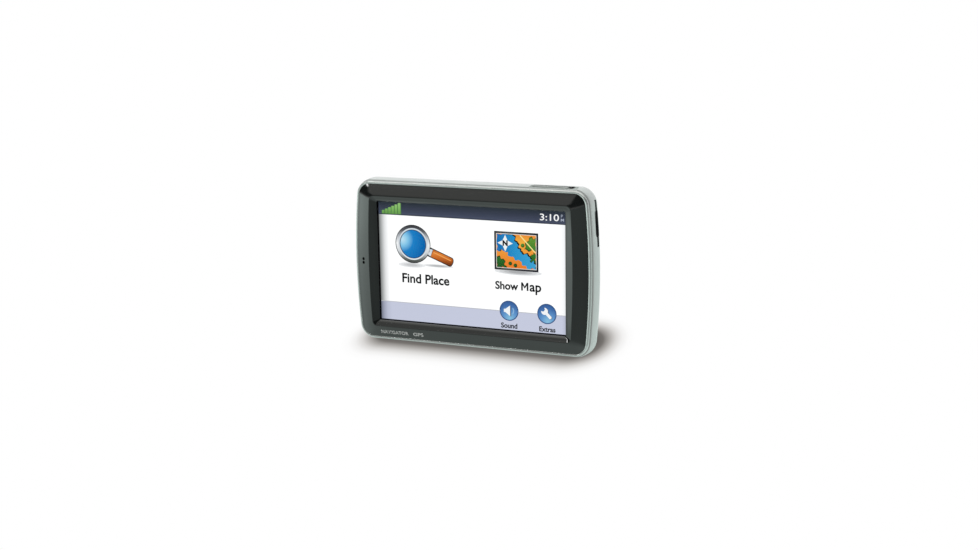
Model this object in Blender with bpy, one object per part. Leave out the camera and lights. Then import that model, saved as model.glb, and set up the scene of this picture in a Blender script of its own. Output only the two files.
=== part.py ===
"""A portable satellite navigator with a wide touch screen, built as its separate pieces.

The object stands on its lower edge. X runs to the right for someone facing the screen, Y runs from
the screen to the back and Z is up. The origin is under the middle of the object. Lengths in the
functions are millimetres, and every mesh is stored in metres.
"""

import math

import bmesh
import bpy
from mathutils import Matrix, Vector

MM = 0.001

# Overall size
BODY_WIDTH = 146.0
BODY_HEIGHT = 93.3
BODY_DEPTH = 27.0
FRONT = -BODY_DEPTH / 2
BACK = BODY_DEPTH / 2
MID_Z = BODY_HEIGHT / 2
SIDE_BOW = 0.00125  # the sides fall in by this times z squared above and below the middle

# Display
SCREEN_WIDTH = 113.3
SCREEN_HEIGHT = 68.0
SCREEN_Y = -9.5
OPENING_HALF_W = SCREEN_WIDTH / 2 + 0.45
OPENING_HALF_H = SCREEN_HEIGHT / 2 + 0.4
TOUCH_HALF_W = 60.1
TOUCH_HALF_H = 36.9
TOUCH_THICKNESS = 1.1
LCD_HALF_W = 60.0
LCD_HALF_H = 36.2
FRAME_HALF_W = 61.3
FRAME_HALF_H = 38.3

# Front bezel: a domed band that rises from its edge to a ridge, then a recess down to the opening
BEZEL_HALF_W = 70.1
BEZEL_HALF_H = 44.05
BEZEL_EDGE_Y = -11.0
BEZEL_BACK_Y = -9.75
BEZEL_CORNER = 6.2
RIDGE_HALF_W = 61.95
RIDGE_HALF_H = 37.6
RIDGE_CORNER = 2.8
RIDGE_BOW = 0.0009
BAND_DOME = 0.3
LIP_FRONT_Y = -11.6
LIP_BACK_Y = -11.2

# Silver rim and shell
RIM_HALF_W = 72.0
RIM_HALF_H = 46.02
RIM_CREST_Y = -11.5
RIM_BACK_Y = -9.35
RIM_CORNER = 8.0
SHELL_FRONT_Y = -9.1
SHELL_FLOOR_Y = 11.3
SEAT_HALF_W = 68.2
SEAT_HALF_H = 42.3

# Chassis and main board
CHASSIS_Y = (-4.9, -4.3)
BOARD_Y = (-1.0, 0.2)
BOARD_HALF_W = 66.0
BOARD_HALF_H = 42.0
CASE_SCREWS = {
    "top_left": (-31.0, 35.0),
    "top_right": (31.0, 35.0),
    "bottom_left": (-60.0, -35.0),
    "bottom_right": (60.0, -35.0),
}
CHASSIS_SCREWS = {
    "top_left": (-22.0, 41.2),
    "top_right": (22.0, 41.2),
    "bottom_left": (-48.0, -41.2),
    "bottom_right": (48.0, -41.2),
}

# Memory card in the right side
CARD_LENGTH = 32.0
CARD_WIDTH = 24.0
CARD_THICKNESS = 2.1
CARD_OUTER_X = 70.8
CARD_Y = -2.6
CARD_Z = 27.3
CARD_SLOT_WIDTH = 25.6
CARD_SLOT_HEIGHT = 2.6
NOTCH_WIDTH = 14.5
NOTCH_HEIGHT = 5.0

# Power slider in the top edge, towards the right
KEY_X = (36.1, 56.4)
KEY_Y = (-6.0, -3.2)
KEY_TOP = BODY_HEIGHT - 0.2
KEY_TRAVEL = 2.5
SCOOP_X = (34.6, 62.8)
SCOOP_FLOOR = BODY_HEIGHT - 0.95
SPRING_X = (60.4, 65.35)
SPRING_Z = 89.7
SPRING_Y = -4.8

# Features of the back
SPEAKER_X = 36.0
SPEAKER_Z = -8.0
SPEAKER_RADIUS = 17.0
JACK_X = -48.0
JACK_Z = 27.0
CAP_HALF_W = 6.3
CAP_HALF_H = 4.8
CAP_Y = (12.15, 13.35)
SOCKET_HALF_W = 16.7
SOCKET_Z = (-35.7, -25.3)
BATTERY_X = (-60.0, -13.0)
BATTERY_Z = (-24.0, 10.0)
BATTERY_Y = (5.0, 10.6)

# Left side and the microphone
USB_Z = -14.2
PHONES_Z = -28.0
MIC_X = -65.9
MIC_Z = -0.2
MIC_HOLE_SPACING = 2.15

CORNER_STEPS = 6
SIDE_STEPS = 6
ROUND_STEPS = 28
SCREW_STEPS = 16
SMOOTH_ANGLE = math.radians(35)

ALONG_X = Matrix.Rotation(math.radians(90), 3, "Y")
ALONG_Y = Matrix.Rotation(math.radians(-90), 3, "X")


# ---------------------------------------------------------------- scene and materials


def clear_scene():
    for obj in list(bpy.data.objects):
        bpy.data.objects.remove(obj, do_unlink=True)


def material(name, colour, roughness, metallic=0.0):
    """A plain surface finish."""
    made = bpy.data.materials.new(name)
    made.use_nodes = True
    shader = made.node_tree.nodes["Principled BSDF"]
    shader.inputs["Base Color"].default_value = (*colour, 1.0)
    shader.inputs["Roughness"].default_value = roughness
    shader.inputs["Metallic"].default_value = metallic
    return made


def add_piece(name, mesh_in_mm, finish, origin):
    """Makes the object, with its origin at the point given in millimetres."""
    bmesh.ops.recalc_face_normals(mesh_in_mm, faces=mesh_in_mm.faces[:])
    bmesh.ops.translate(mesh_in_mm, verts=mesh_in_mm.verts[:], vec=-Vector(origin))
    bmesh.ops.scale(mesh_in_mm, verts=mesh_in_mm.verts[:], vec=(MM, MM, MM))
    mesh = bpy.data.meshes.new(name)
    mesh_in_mm.to_mesh(mesh)
    mesh_in_mm.free()
    mesh.shade_smooth()
    mesh.set_sharp_from_angle(angle=SMOOTH_ANGLE)
    mesh.materials.append(finish)
    obj = bpy.data.objects.new(name, mesh)
    obj.location = Vector(origin) * MM
    bpy.context.scene.collection.objects.link(obj)
    return obj


def add_cutter(name, mesh_in_mm, finish):
    obj = add_piece(name, mesh_in_mm, finish, (0, 0, 0))
    obj.hide_render = True
    obj.display_type = "WIRE"
    return obj


def apply_shape(target, tool, operation):
    """Cuts or joins the tool's shape with the exact solver."""
    modifier = target.modifiers.new(tool.name, "BOOLEAN")
    modifier.operation = operation
    modifier.solver = "EXACT"
    modifier.object = tool


def cut(target, *tools):
    for tool in tools:
        apply_shape(target, tool, "DIFFERENCE")


def join(target, *tools):
    for tool in tools:
        apply_shape(target, tool, "UNION")


# ---------------------------------------------------------------- shapes, in millimetres


def outline(half_w, top, bottom, radius, bow):
    """Points (x, z) round a rounded rectangle about the display centre, with its sides bowed outward."""
    points = []
    centres = (
        (half_w - radius, top - radius, 0),
        (-half_w + radius, top - radius, 90),
        (-half_w + radius, -bottom + radius, 180),
        (half_w - radius, -bottom + radius, 270),
    )
    for x, z, start in centres:
        for step in range(CORNER_STEPS + 1):
            turn = math.radians(start + 90 * step / CORNER_STEPS)
            points.append((x + radius * math.cos(turn), z + radius * math.sin(turn)))
        if start in (90, 270):
            side_x = points[-1][0]
            far = -bottom + radius if start == 90 else top - radius
            for step in range(1, SIDE_STEPS):
                points.append((side_x, z + (far - z) * step / SIDE_STEPS))
    return [(x * (1 - bow * z * z / half_w), z) for x, z in points]


def section(half_w, half_h, radius, y, bow=0.0, bottom=None):
    """One cross-section at depth y. The bottom half-height can differ from the top."""
    lower = half_h if bottom is None else bottom
    return [(x, y, z + MID_Z) for x, z in outline(half_w, half_h, lower, radius, bow)]


def loft(sections, ring=False):
    """Skin through the sections: a closed ring, or a solid with both ends capped."""
    mesh = bmesh.new()
    rows = [[mesh.verts.new(point) for point in row] for row in sections]
    pairs = list(zip(rows, rows[1:] + rows[:1] if ring else rows[1:]))
    for row, following in pairs:
        count = len(row)
        for i in range(count):
            j = (i + 1) % count
            mesh.faces.new((row[i], row[j], following[j], following[i]))
    if not ring:
        mesh.faces.new(rows[0])
        mesh.faces.new(rows[-1])
    return mesh


def block(x, y, z):
    """A box between two values on each axis. z is measured from the display centre."""
    low = Vector((x[0], y[0], z[0] + MID_Z))
    high = Vector((x[1], y[1], z[1] + MID_Z))
    mesh = bmesh.new()
    bmesh.ops.create_cube(mesh, size=1.0)
    bmesh.ops.scale(mesh, verts=mesh.verts[:], vec=high - low)
    bmesh.ops.translate(mesh, verts=mesh.verts[:], vec=(low + high) / 2)
    return mesh


def bevelled(mesh, width, steps=1):
    bmesh.ops.bevel(
        mesh,
        geom=mesh.edges[:],
        offset=width,
        segments=steps,
        profile=0.5,
        affect="EDGES",
        clamp_overlap=True,
    )
    return mesh


def turned(profile, centre, axis, steps=ROUND_STEPS):
    """A turned solid. The profile is a closed loop of (radius, height), or runs from axis to axis."""
    mesh = bmesh.new()
    rings = []
    for radius, height in profile:
        count = 1 if radius == 0 else steps
        ring = []
        for step in range(count):
            turn = 2 * math.pi * step / steps
            local = Vector((radius * math.cos(turn), radius * math.sin(turn), height))
            ring.append(mesh.verts.new(axis @ local + Vector(centre)))
        rings.append(ring)
    closed = profile[0][0] != 0
    for first, second in zip(rings, rings[1:] + rings[:1] if closed else rings[1:]):
        for i in range(steps):
            j = (i + 1) % steps
            corners = [first[i % len(first)], first[j % len(first)]]
            corners += [second[j % len(second)], second[i % len(second)]]
            unique = list(dict.fromkeys(corners))
            if len(unique) > 2:
                mesh.faces.new(unique)
    return mesh


def disc(radius, low, high, centre, axis, steps=ROUND_STEPS):
    profile = ((0, low), (radius, low), (radius, high), (0, high))
    return turned(profile, centre, axis, steps)


def pipe(path, radius, steps=6):
    """A round wire along a list of points, with flat ends."""
    points = [Vector(point) for point in path]
    mesh = bmesh.new()
    side = None
    rows = []
    for i, point in enumerate(points):
        ahead = points[min(i + 1, len(points) - 1)] - points[max(i - 1, 0)]
        ahead.normalize()
        if side is None:
            side = ahead.orthogonal().normalized()
        side = (side - ahead * side.dot(ahead)).normalized()
        across = ahead.cross(side)
        row = []
        for step in range(steps):
            turn = 2 * math.pi * step / steps
            offset = side * math.cos(turn) + across * math.sin(turn)
            row.append(mesh.verts.new(point + offset * radius))
        rows.append(row)
    for row, following in zip(rows, rows[1:]):
        for i in range(steps):
            j = (i + 1) % steps
            mesh.faces.new((row[i], row[j], following[j], following[i]))
    mesh.faces.new(rows[0])
    mesh.faces.new(rows[-1])
    return mesh


def bend_path(corners, radius=1.5, steps=4):
    """A list of points through the corners, with each inner corner rounded."""
    corners = [Vector(corner) for corner in corners]
    path = [corners[0]]
    for before, corner, after in zip(corners, corners[1:], corners[2:]):
        start = corner + (before - corner).normalized() * radius
        end = corner + (after - corner).normalized() * radius
        for step in range(steps + 1):
            t = step / steps
            path.append(start * (1 - t) ** 2 + corner * 2 * t * (1 - t) + end * t * t)
    path.append(corners[-1])
    return path


def ribbon(path, x, thickness):
    """A flat flexible strip: a path of (y, z) given width along X and a small thickness."""
    points = [Vector((y, z + MID_Z)) for y, z in path]
    sections = []
    for i, point in enumerate(points):
        before = point - points[i - 1] if i else points[1] - point
        after = points[i + 1] - point if i + 1 < len(points) else before
        straight = Vector((-before.y, before.x)).normalized()
        across = (straight + Vector((-after.y, after.x)).normalized()).normalized()
        reach = thickness / 2 / max(across.dot(straight), 0.3)
        inner, outer = point + across * reach, point - across * reach
        ends = ((x[0], inner), (x[1], inner), (x[1], outer), (x[0], outer))
        sections.append([(side, corner.x, corner.y) for side, corner in ends])
    return loft(sections)


# ---------------------------------------------------------------- front and display


def front_bezel(finish):
    """Dark frame with a domed band, a ridge and a recess that slopes down to the screen."""
    rows = [section(BEZEL_HALF_W, BEZEL_HALF_H, BEZEL_CORNER, BEZEL_EDGE_Y, SIDE_BOW)]
    for share in (0.3, 0.62, 0.94):
        half_w = BEZEL_HALF_W + (RIDGE_HALF_W - BEZEL_HALF_W) * share
        half_h = BEZEL_HALF_H + (RIDGE_HALF_H - BEZEL_HALF_H) * share
        corner = BEZEL_CORNER + (RIDGE_CORNER - BEZEL_CORNER) * share
        bow = SIDE_BOW + (RIDGE_BOW - SIDE_BOW) * share
        rise = (FRONT - BEZEL_EDGE_Y) * share - BAND_DOME * 4 * share * (1 - share)
        rows.append(section(half_w, half_h, corner, BEZEL_EDGE_Y + rise, bow))
    rows += [
        section(RIDGE_HALF_W, RIDGE_HALF_H, RIDGE_CORNER, FRONT, RIDGE_BOW),
        section(RIDGE_HALF_W - 0.45, RIDGE_HALF_H - 0.3, 2.4, FRONT + 0.1, RIDGE_BOW),
        section(OPENING_HALF_W, OPENING_HALF_H, 0.6, LIP_FRONT_Y),
        section(OPENING_HALF_W, OPENING_HALF_H, 0.6, LIP_BACK_Y),
        section(TOUCH_HALF_W + 0.4, TOUCH_HALF_H + 0.4, 1.2, LIP_BACK_Y),
        section(TOUCH_HALF_W + 0.4, TOUCH_HALF_H + 0.4, 1.2, BEZEL_BACK_Y),
        section(BEZEL_HALF_W, BEZEL_HALF_H, BEZEL_CORNER, BEZEL_BACK_Y, SIDE_BOW),
    ]
    bezel = add_piece("front_bezel", loft(rows, ring=True), finish, (0, FRONT, MID_Z))
    for i, side in enumerate((1, -1)):
        centre = (MIC_X, 0, MID_Z + MIC_Z + side * MIC_HOLE_SPACING / 2)
        hole = disc(0.6, FRONT - 1, BEZEL_BACK_Y + 1, centre, ALONG_Y, 12)
        cut(bezel, add_cutter(f"mic_hole_cutter_{i}", hole, finish))


def trim_ring(finish):
    """Rounded silver rim round the bezel, with a seat behind it and a tongue into the shell."""
    inner_w, inner_h = BEZEL_HALF_W + 0.15, BEZEL_HALF_H + 0.15
    tongue_w, tongue_h = 69.55, 43.6
    seat_y, tongue_back_y = -9.45, -8.3
    groove = 0.4
    rows = [
        section(inner_w, inner_h, 6.3, -11.0, SIDE_BOW),
        section(inner_w + 0.25, inner_h + 0.25, 6.6, -11.38, SIDE_BOW),
        section(inner_w + 0.8, inner_h + 0.8, 7.1, RIM_CREST_Y, SIDE_BOW),
        section(inner_w + 1.35, inner_h + 1.38, 7.6, -11.25, SIDE_BOW),
        section(inner_w + 1.65, inner_h + 1.7, 7.9, -10.7, SIDE_BOW),
        section(RIM_HALF_W, RIM_HALF_H, RIM_CORNER, -9.95, SIDE_BOW),
        section(RIM_HALF_W - groove, RIM_HALF_H - groove, RIM_CORNER, RIM_BACK_Y, SIDE_BOW),
        section(tongue_w, tongue_h, 6.0, RIM_BACK_Y, SIDE_BOW),
        section(tongue_w, tongue_h, 6.0, tongue_back_y, SIDE_BOW),
        section(SEAT_HALF_W, SEAT_HALF_H, 4.8, tongue_back_y, SIDE_BOW),
        section(SEAT_HALF_W, SEAT_HALF_H, 4.8, seat_y, SIDE_BOW),
        section(inner_w, inner_h, 6.3, seat_y, SIDE_BOW),
    ]
    ring = add_piece("trim_ring", loft(rows, ring=True), finish, (0, RIM_BACK_Y, MID_Z))
    for place, (x, z) in CHASSIS_SCREWS.items():
        side = math.copysign(1, z)
        low, high = sorted((side * 39.4, side * 43.1))
        lug = block((x - 3.2, x + 3.2), (-9.2, CHASSIS_Y[0] - 0.15), (low, high))
        join(ring, add_cutter(f"trim_lug_{place}", lug, finish))
        hole = disc(1.05, -8.4, 0.0, (x, 0, MID_Z + z), ALONG_Y, SCREW_STEPS)
        cut(ring, add_cutter(f"trim_hole_{place}", hole, finish))


def bezel_gasket(finish):
    """Foam frame between the bezel's lip and the touch panel."""
    outer_w, outer_h = TOUCH_HALF_W, TOUCH_HALF_H
    inner_w, inner_h = OPENING_HALF_W + 0.6, OPENING_HALF_H + 0.5
    front, back = LIP_BACK_Y + 0.05, LIP_BACK_Y + 0.4
    rows = [
        section(outer_w, outer_h, 0.8, front),
        section(outer_w, outer_h, 0.8, back),
        section(inner_w, inner_h, 0.5, back),
        section(inner_w, inner_h, 0.5, front),
    ]
    add_piece("bezel_gasket", loft(rows, ring=True), finish, (0, front, MID_Z))


def sheet(name, half_w, half_h, corner, y, finish):
    """A flat rounded rectangle of the display stack."""
    rows = [section(half_w, half_h, corner, depth) for depth in y]
    return add_piece(name, loft(rows), finish, (0, y[0], MID_Z))


def display_stack(finishes):
    """Touch panel, display glass, light guide and its lamps, and the metal tray that holds them."""
    touch_back = SCREEN_Y - 0.15
    touch_y = (touch_back - TOUCH_THICKNESS, touch_back)
    sheet("touch_panel", TOUCH_HALF_W, TOUCH_HALF_H, 0.8, touch_y, finishes["glass"])
    sheet("lcd_panel", LCD_HALF_W, LCD_HALF_H, 0.5, (SCREEN_Y, -8.2), finishes["screen"])
    guide = block((-58.4, 60.2), (-8.1, -6.0), (-35.8, 35.8))
    add_piece("backlight_guide", guide, finishes["clear"], (0, -8.1, MID_Z))
    lamps = block((-60.3, -58.7), (-8.0, -6.2), (-34.0, 34.0))
    add_piece("backlight_led_bar", lamps, finishes["led"], (-59.5, -8.0, MID_Z))

    wall = 0.5
    inner_w, inner_h = FRAME_HALF_W - wall, FRAME_HALF_H - wall
    rows = [
        section(FRAME_HALF_W, FRAME_HALF_H, 1.0, -5.2),
        section(FRAME_HALF_W, FRAME_HALF_H, 1.0, -9.3),
        section(inner_w, inner_h, 0.6, -9.3),
        section(inner_w, inner_h, 0.6, -5.75),
    ]
    tray = add_piece("lcd_frame", loft(rows), finishes["steel"], (0, -5.2, MID_Z))
    gap = block((-13.0, 9.0), (-10.0, -7.4), (-39.5, -36.5))
    cut(tray, add_cutter("lcd_frame_gap", gap, finishes["steel"]))


def flexes(finish):
    """The two flat flexible strips from the display and the touch panel to the main board."""
    lcd_path = ((-8.9, -36.3), (-8.9, -38.9), (-8.4, -39.4), (-3.3, -39.4), (-2.4, -38.9))
    lcd_path += ((-2.4, -38.6),)
    strip = ribbon(lcd_path, (-12.0, 8.0), 0.15)
    add_piece("lcd_flex", strip, finish, (-2.0, -8.9, MID_Z - 36.3))
    touch_path = ((-9.4, 36.35), (-9.52, 36.9), (-9.52, 38.9), (-9.0, 39.4), (-3.3, 39.4))
    touch_path += ((-2.4, 38.9), (-2.4, 38.6))
    strip = ribbon(touch_path, (-43.0, -37.0), 0.12)
    add_piece("touch_flex", strip, finish, (-40.0, -9.4, MID_Z + 36.35))


def microphone(finishes):
    """Capsule in a rubber boot behind the two small holes of the bezel."""
    boot = add_piece(
        "microphone_boot",
        block((-67.7, -64.1), (-9.6, -6.3), (MIC_Z - 2.9, MIC_Z + 2.9)),
        finishes["rubber"],
        (MIC_X, -9.6, MID_Z + MIC_Z),
    )
    centre = (MIC_X, 0, MID_Z + MIC_Z)
    well = disc(1.6, -8.9, -5.0, centre, ALONG_Y, SCREW_STEPS)
    cut(boot, add_cutter("mic_boot_well", well, finishes["rubber"]))
    port = block((MIC_X - 0.5, MIC_X + 0.5), (-11.0, -8.0), (MIC_Z - 1.3, MIC_Z + 1.3))
    cut(boot, add_cutter("mic_boot_port", port, finishes["rubber"]))
    capsule = disc(1.45, -8.75, -6.9, centre, ALONG_Y, SCREW_STEPS)
    add_piece("microphone", capsule, finishes["steel"], (MIC_X, -8.75, MID_Z + MIC_Z))


# ---------------------------------------------------------------- rear housing and the parts in it


def shell_sections():
    """Outer and inner cross-sections of the rear housing, from the front edge over the back and in."""
    outer = (
        (71.6, 45.6, 45.6, 7.6, SHELL_FRONT_Y),
        (72.2, 46.2, 46.25, 8.1, -8.6),
        (72.75, 46.5, 46.65, 8.3, -6.0),
        (73.0, 46.65, 46.65, 8.4, -1.5),
        (71.9, 46.2, 46.65, 8.5, 2.5),
        (70.4, 45.35, 46.65, 8.7, 5.8),
        (68.9, 44.1, 46.65, 8.9, 8.6),
        (67.1, 42.6, 45.2, 9.0, 10.9),
        (65.3, 41.1, 42.9, 8.6, 12.4),
        (63.7, 39.5, 40.8, 8.0, 13.2),
        (61.8, 37.9, 38.8, 7.2, BACK),
    )
    inner = (
        (62.9, 38.9, 39.8, 6.2, SHELL_FLOOR_Y),
        (65.8, 41.1, 43.2, 6.8, 9.3),
        (68.7, 43.3, 44.5, 6.8, 5.8),
        (70.5, 44.5, 44.65, 6.6, 1.5),
        (70.9, 44.6, 44.65, 6.4, -3.0),
        (69.95, 43.95, 43.95, 6.2, SHELL_FRONT_Y),
    )
    rows = []
    for half_w, top, bottom, radius, y in outer[::-1] + inner[::-1]:
        rows.append(section(half_w, top, radius, y, SIDE_BOW, bottom))
    return rows


def scoop(finish):
    """Shallow hollow with rounded ends, in front of the power slider and round it."""
    middle = (SCOOP_X[0] + SCOOP_X[1]) / 2
    half_length = (SCOOP_X[1] - SCOOP_X[0]) / 2
    end, steps = 3.2, 5
    back_y, front_y = KEY_Y[1] + 0.25, -12.0
    right_side = []
    for step in range(steps + 1):
        turn = math.radians(90 * step / steps)
        x = half_length - end + end * math.sin(turn)
        right_side.append((x, back_y - end * (1 - math.cos(turn))))
    right_side.append((half_length, front_y))
    plan = right_side + [(-x, y) for x, y in right_side[::-1]]
    rows = []
    for spread, z in ((0.93, SCOOP_FLOOR), (1.0, SCOOP_FLOOR + 0.45), (1.03, BODY_HEIGHT + 1)):
        rows.append([(middle + x * spread, y, z) for x, y in plan])
    return add_cutter("scoop_cutter", loft(rows), finish)


def rear_housing(finish):
    """Silver cup that forms the sides and the back, with its bosses, openings and recesses."""
    rows = shell_sections()
    shell = add_piece("rear_housing", loft(rows), finish, (0, 0, MID_Z))

    for place, (x, z) in CASE_SCREWS.items():
        centre = (x, 0, MID_Z + z)
        boss = disc(3.4, BOARD_Y[1] + 0.15, SHELL_FLOOR_Y + 0.6, centre, ALONG_Y, SCREW_STEPS)
        join(shell, add_cutter(f"boss_{place}", boss, finish))
    rib = block((65.6, 67.0), (-6.4, -3.2), (42.0, 44.3))
    join(shell, add_cutter("spring_rib", rib, finish))

    well = ((0, -2.0), (1.2, -2.0), (1.2, 2.0), (2.5, 2.0), (2.5, BACK + 1), (0, BACK + 1))
    for place, (x, z) in CASE_SCREWS.items():
        shape = turned(well, (x, 0, MID_Z + z), ALONG_Y, SCREW_STEPS)
        cut(shell, add_cutter(f"boss_well_{place}", shape, finish))

    half_slot, half_notch = CARD_SLOT_WIDTH / 2, NOTCH_WIDTH / 2
    slot = block(
        (64.0, 80.0),
        (CARD_Y - CARD_SLOT_HEIGHT / 2, CARD_Y + CARD_SLOT_HEIGHT / 2),
        (CARD_Z - half_slot, CARD_Z + half_slot),
    )
    notch = block(
        (67.5, 80.0),
        (CARD_Y - NOTCH_HEIGHT / 2, CARD_Y + NOTCH_HEIGHT / 2),
        (CARD_Z - half_notch, CARD_Z + half_notch),
    )
    cut(shell, add_cutter("card_slot_cutter", slot, finish))
    cut(shell, add_cutter("card_notch_cutter", notch, finish))

    cut(shell, scoop(finish))
    key_slot = block(
        (KEY_X[0] - 0.3, KEY_X[1] + KEY_TRAVEL + 0.4),
        (KEY_Y[0] - 0.3, KEY_Y[1] + 0.3),
        (42.5, 50.0),
    )
    cut(shell, add_cutter("key_slot_cutter", key_slot, finish))
    cut_back(shell, finish)
    cut_left_side(shell, finish)


def cut_back(shell, finish):
    """Openings of the back: speaker, cradle socket and antenna cap."""
    centre = (SPEAKER_X, 0, MID_Z + SPEAKER_Z)
    hole, seat, step = SPEAKER_RADIUS - 1.6, SPEAKER_RADIUS + 0.3, 12.25
    stepped = ((0, 8.0), (hole, 8.0), (hole, step), (seat, step), (seat, BACK + 1), (0, BACK + 1))
    shape = turned(stepped, centre, ALONG_Y)
    cut(shell, add_cutter("grille_hole_cutter", shape, finish))

    window = block(
        (-SOCKET_HALF_W - 0.3, SOCKET_HALF_W + 0.3),
        (8.0, BACK + 1),
        (SOCKET_Z[0] - 0.3, SOCKET_Z[1] + 0.3),
    )
    cut(shell, add_cutter("cradle_window_cutter", window, finish))

    pocket = block(
        (JACK_X - CAP_HALF_W - 0.2, JACK_X + CAP_HALF_W + 0.2),
        (CAP_Y[0] - 0.15, BACK + 1),
        (JACK_Z - CAP_HALF_H - 0.2, JACK_Z + CAP_HALF_H + 0.25),
    )
    bore = disc(3.1, 8.0, BACK + 1, (JACK_X, 0, MID_Z + JACK_Z), ALONG_Y, 20)
    cut(shell, add_cutter("cap_pocket_cutter", pocket, finish))
    cut(shell, add_cutter("cap_bore_cutter", bore, finish))


def cut_left_side(shell, finish):
    """Openings of the left side: data connector and headphone jack."""
    port = block((-80.0, -67.0), (0.15, 4.75), (USB_Z - 4.2, USB_Z + 4.2))
    cut(shell, add_cutter("usb_port_cutter", port, finish))
    centre = (0, 3.35, MID_Z + PHONES_Z)
    hole = disc(2.3, -80.0, -66.0, centre, ALONG_X, 20)
    cut(shell, add_cutter("phones_hole_cutter", hole, finish))


def speaker_grille(finish):
    """Round insert with seven slots."""
    centre = (SPEAKER_X, 0, MID_Z + SPEAKER_Z)
    grille = add_piece(
        "speaker_grille",
        disc(SPEAKER_RADIUS, 12.35, 13.4, centre, ALONG_Y),
        finish,
        (SPEAKER_X, 12.35, MID_Z + SPEAKER_Z),
    )
    spacing, half_height, reach = 3.8, 0.8, 13.6
    for i in range(7):
        z = (i - 3) * spacing
        half = math.sqrt(reach * reach - z * z)
        slot = block(
            (SPEAKER_X - half, SPEAKER_X + half),
            (11.0, 15.0),
            (SPEAKER_Z + z - half_height, SPEAKER_Z + z + half_height),
        )
        cut(grille, add_cutter(f"grille_slot_cutter_{i}", slot, finish))


def cradle_socket(finish):
    """Black insert that the cradle latches to, with a latch pocket and four contact windows."""
    plate = block((-SOCKET_HALF_W, SOCKET_HALF_W), (10.9, 13.2), SOCKET_Z)
    socket = add_piece("cradle_socket", plate, finish, (0, 10.9, MID_Z + SOCKET_Z[0]))
    flange = block(
        (-SOCKET_HALF_W - 1.8, SOCKET_HALF_W + 1.8),
        (10.2, 11.05),
        (SOCKET_Z[0] - 1.6, SOCKET_Z[1] + 1.6),
    )
    join(socket, add_cutter("cradle_flange", flange, finish))
    latch = block((-12.0, 12.0), (12.0, 15.0), (-33.9, -31.2))
    cut(socket, add_cutter("cradle_latch_cutter", latch, finish))
    for i in range(4):
        x = (i - 1.5) * 4.0
        window = block((x - 1.1, x + 1.1), (8.0, 15.0), (-29.5, -26.6))
        cut(socket, add_cutter(f"cradle_contact_cutter_{i}", window, finish))


def antenna_cap(finish):
    """Rubber flap over the antenna jack. It opens about its upper edge, on the face of the housing."""
    hinge = (JACK_X, BACK - 0.1, MID_Z + JACK_Z + CAP_HALF_H)
    plate = block(
        (JACK_X - CAP_HALF_W, JACK_X + CAP_HALF_W),
        CAP_Y,
        (JACK_Z - CAP_HALF_H, JACK_Z + CAP_HALF_H),
    )
    cap = add_piece("antenna_cap", plate, finish, hinge)
    plug = disc(2.5, 10.7, CAP_Y[0] + 0.3, (JACK_X, 0, MID_Z + JACK_Z), ALONG_Y, 20)
    join(cap, add_cutter("cap_plug", plug, finish))
    nail = block((JACK_X - 2.0, JACK_X + 2.0), (13.0, 15.0), (JACK_Z - 6.0, JACK_Z - 3.9))
    cut(cap, add_cutter("cap_nail_cutter", nail, finish))


def case_screws(finish):
    """Long pan-head screws in the wells of the back."""
    profile = ((0, -3.9), (0.95, -3.9), (0.95, 2.1), (2.1, 2.1), (2.1, 3.3), (1.5, 3.8), (0, 3.8))
    for place, (x, z) in CASE_SCREWS.items():
        origin = (x, 0, MID_Z + z)
        shape = turned(profile, origin, ALONG_Y, SCREW_STEPS)
        add_piece(f"case_screw_{place}", shape, finish, origin)


# ---------------------------------------------------------------- power slider and memory card


def power_slider(finish):
    """Key in the top edge with a retaining flange and a fork that carries the switch knob."""
    middle = (KEY_X[0] + KEY_X[1]) / 2
    height = (43.6, KEY_TOP - MID_Z)
    key = add_piece(
        "power_slider",
        bevelled(block(KEY_X, KEY_Y, height), 0.25),
        finish,
        (middle, (KEY_Y[0] + KEY_Y[1]) / 2, KEY_TOP),
    )
    flange = block((33.0, 60.2), (-7.1, -1.9), (43.25, 43.95))
    join(key, add_cutter("slider_flange", flange, finish))
    stop = block((58.6, 60.2), (-5.8, -3.8), (42.4, 43.8))
    join(key, add_cutter("slider_stop", stop, finish))
    arm = block((43.4, 50.1), (-2.2, 2.3), (43.3, 43.9))
    join(key, add_cutter("slider_arm", arm, finish))
    for i, x in enumerate((44.2, 48.05)):
        prong = block((x, x + 1.25), (0.7, 2.1), (41.95, 43.6))
        join(key, add_cutter(f"slider_prong_{i}", prong, finish))


def slider_spring(finish):
    """Compression spring that pushes the slider back to the left."""
    turns, steps, radius = 6, 9, 0.62
    length = SPRING_X[1] - SPRING_X[0]
    path = []
    for step in range(turns * steps + 1):
        turn = 2 * math.pi * step / steps
        x = SPRING_X[0] + 0.17 + (length - 0.34) * step / (turns * steps)
        path.append(
            (x, SPRING_Y + radius * math.cos(turn), SPRING_Z + radius * math.sin(turn))
        )
    add_piece("slider_spring", pipe(path, 0.14, 5), finish, (SPRING_X[1], SPRING_Y, SPRING_Z))


def power_switch(finishes):
    """Small slide switch on the board, and its knob between the prongs of the slider."""
    body = block((40.5, 53.0), (0.28, 3.2), (38.2, 41.6))
    switch = add_piece("slide_switch", body, finishes["steel"], (46.75, 0.28, MID_Z + 39.9))
    slit = block((44.0, 52.6), (0.7, 2.1), (40.4, 42.5))
    cut(switch, add_cutter("switch_slit", slit, finishes["steel"]))
    knob = block((45.75, 47.75), (0.9, 1.9), (40.7, 43.0))
    add_piece("slide_switch_knob", knob, finishes["black"], (46.75, 1.4, MID_Z + 42.0))


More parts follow.
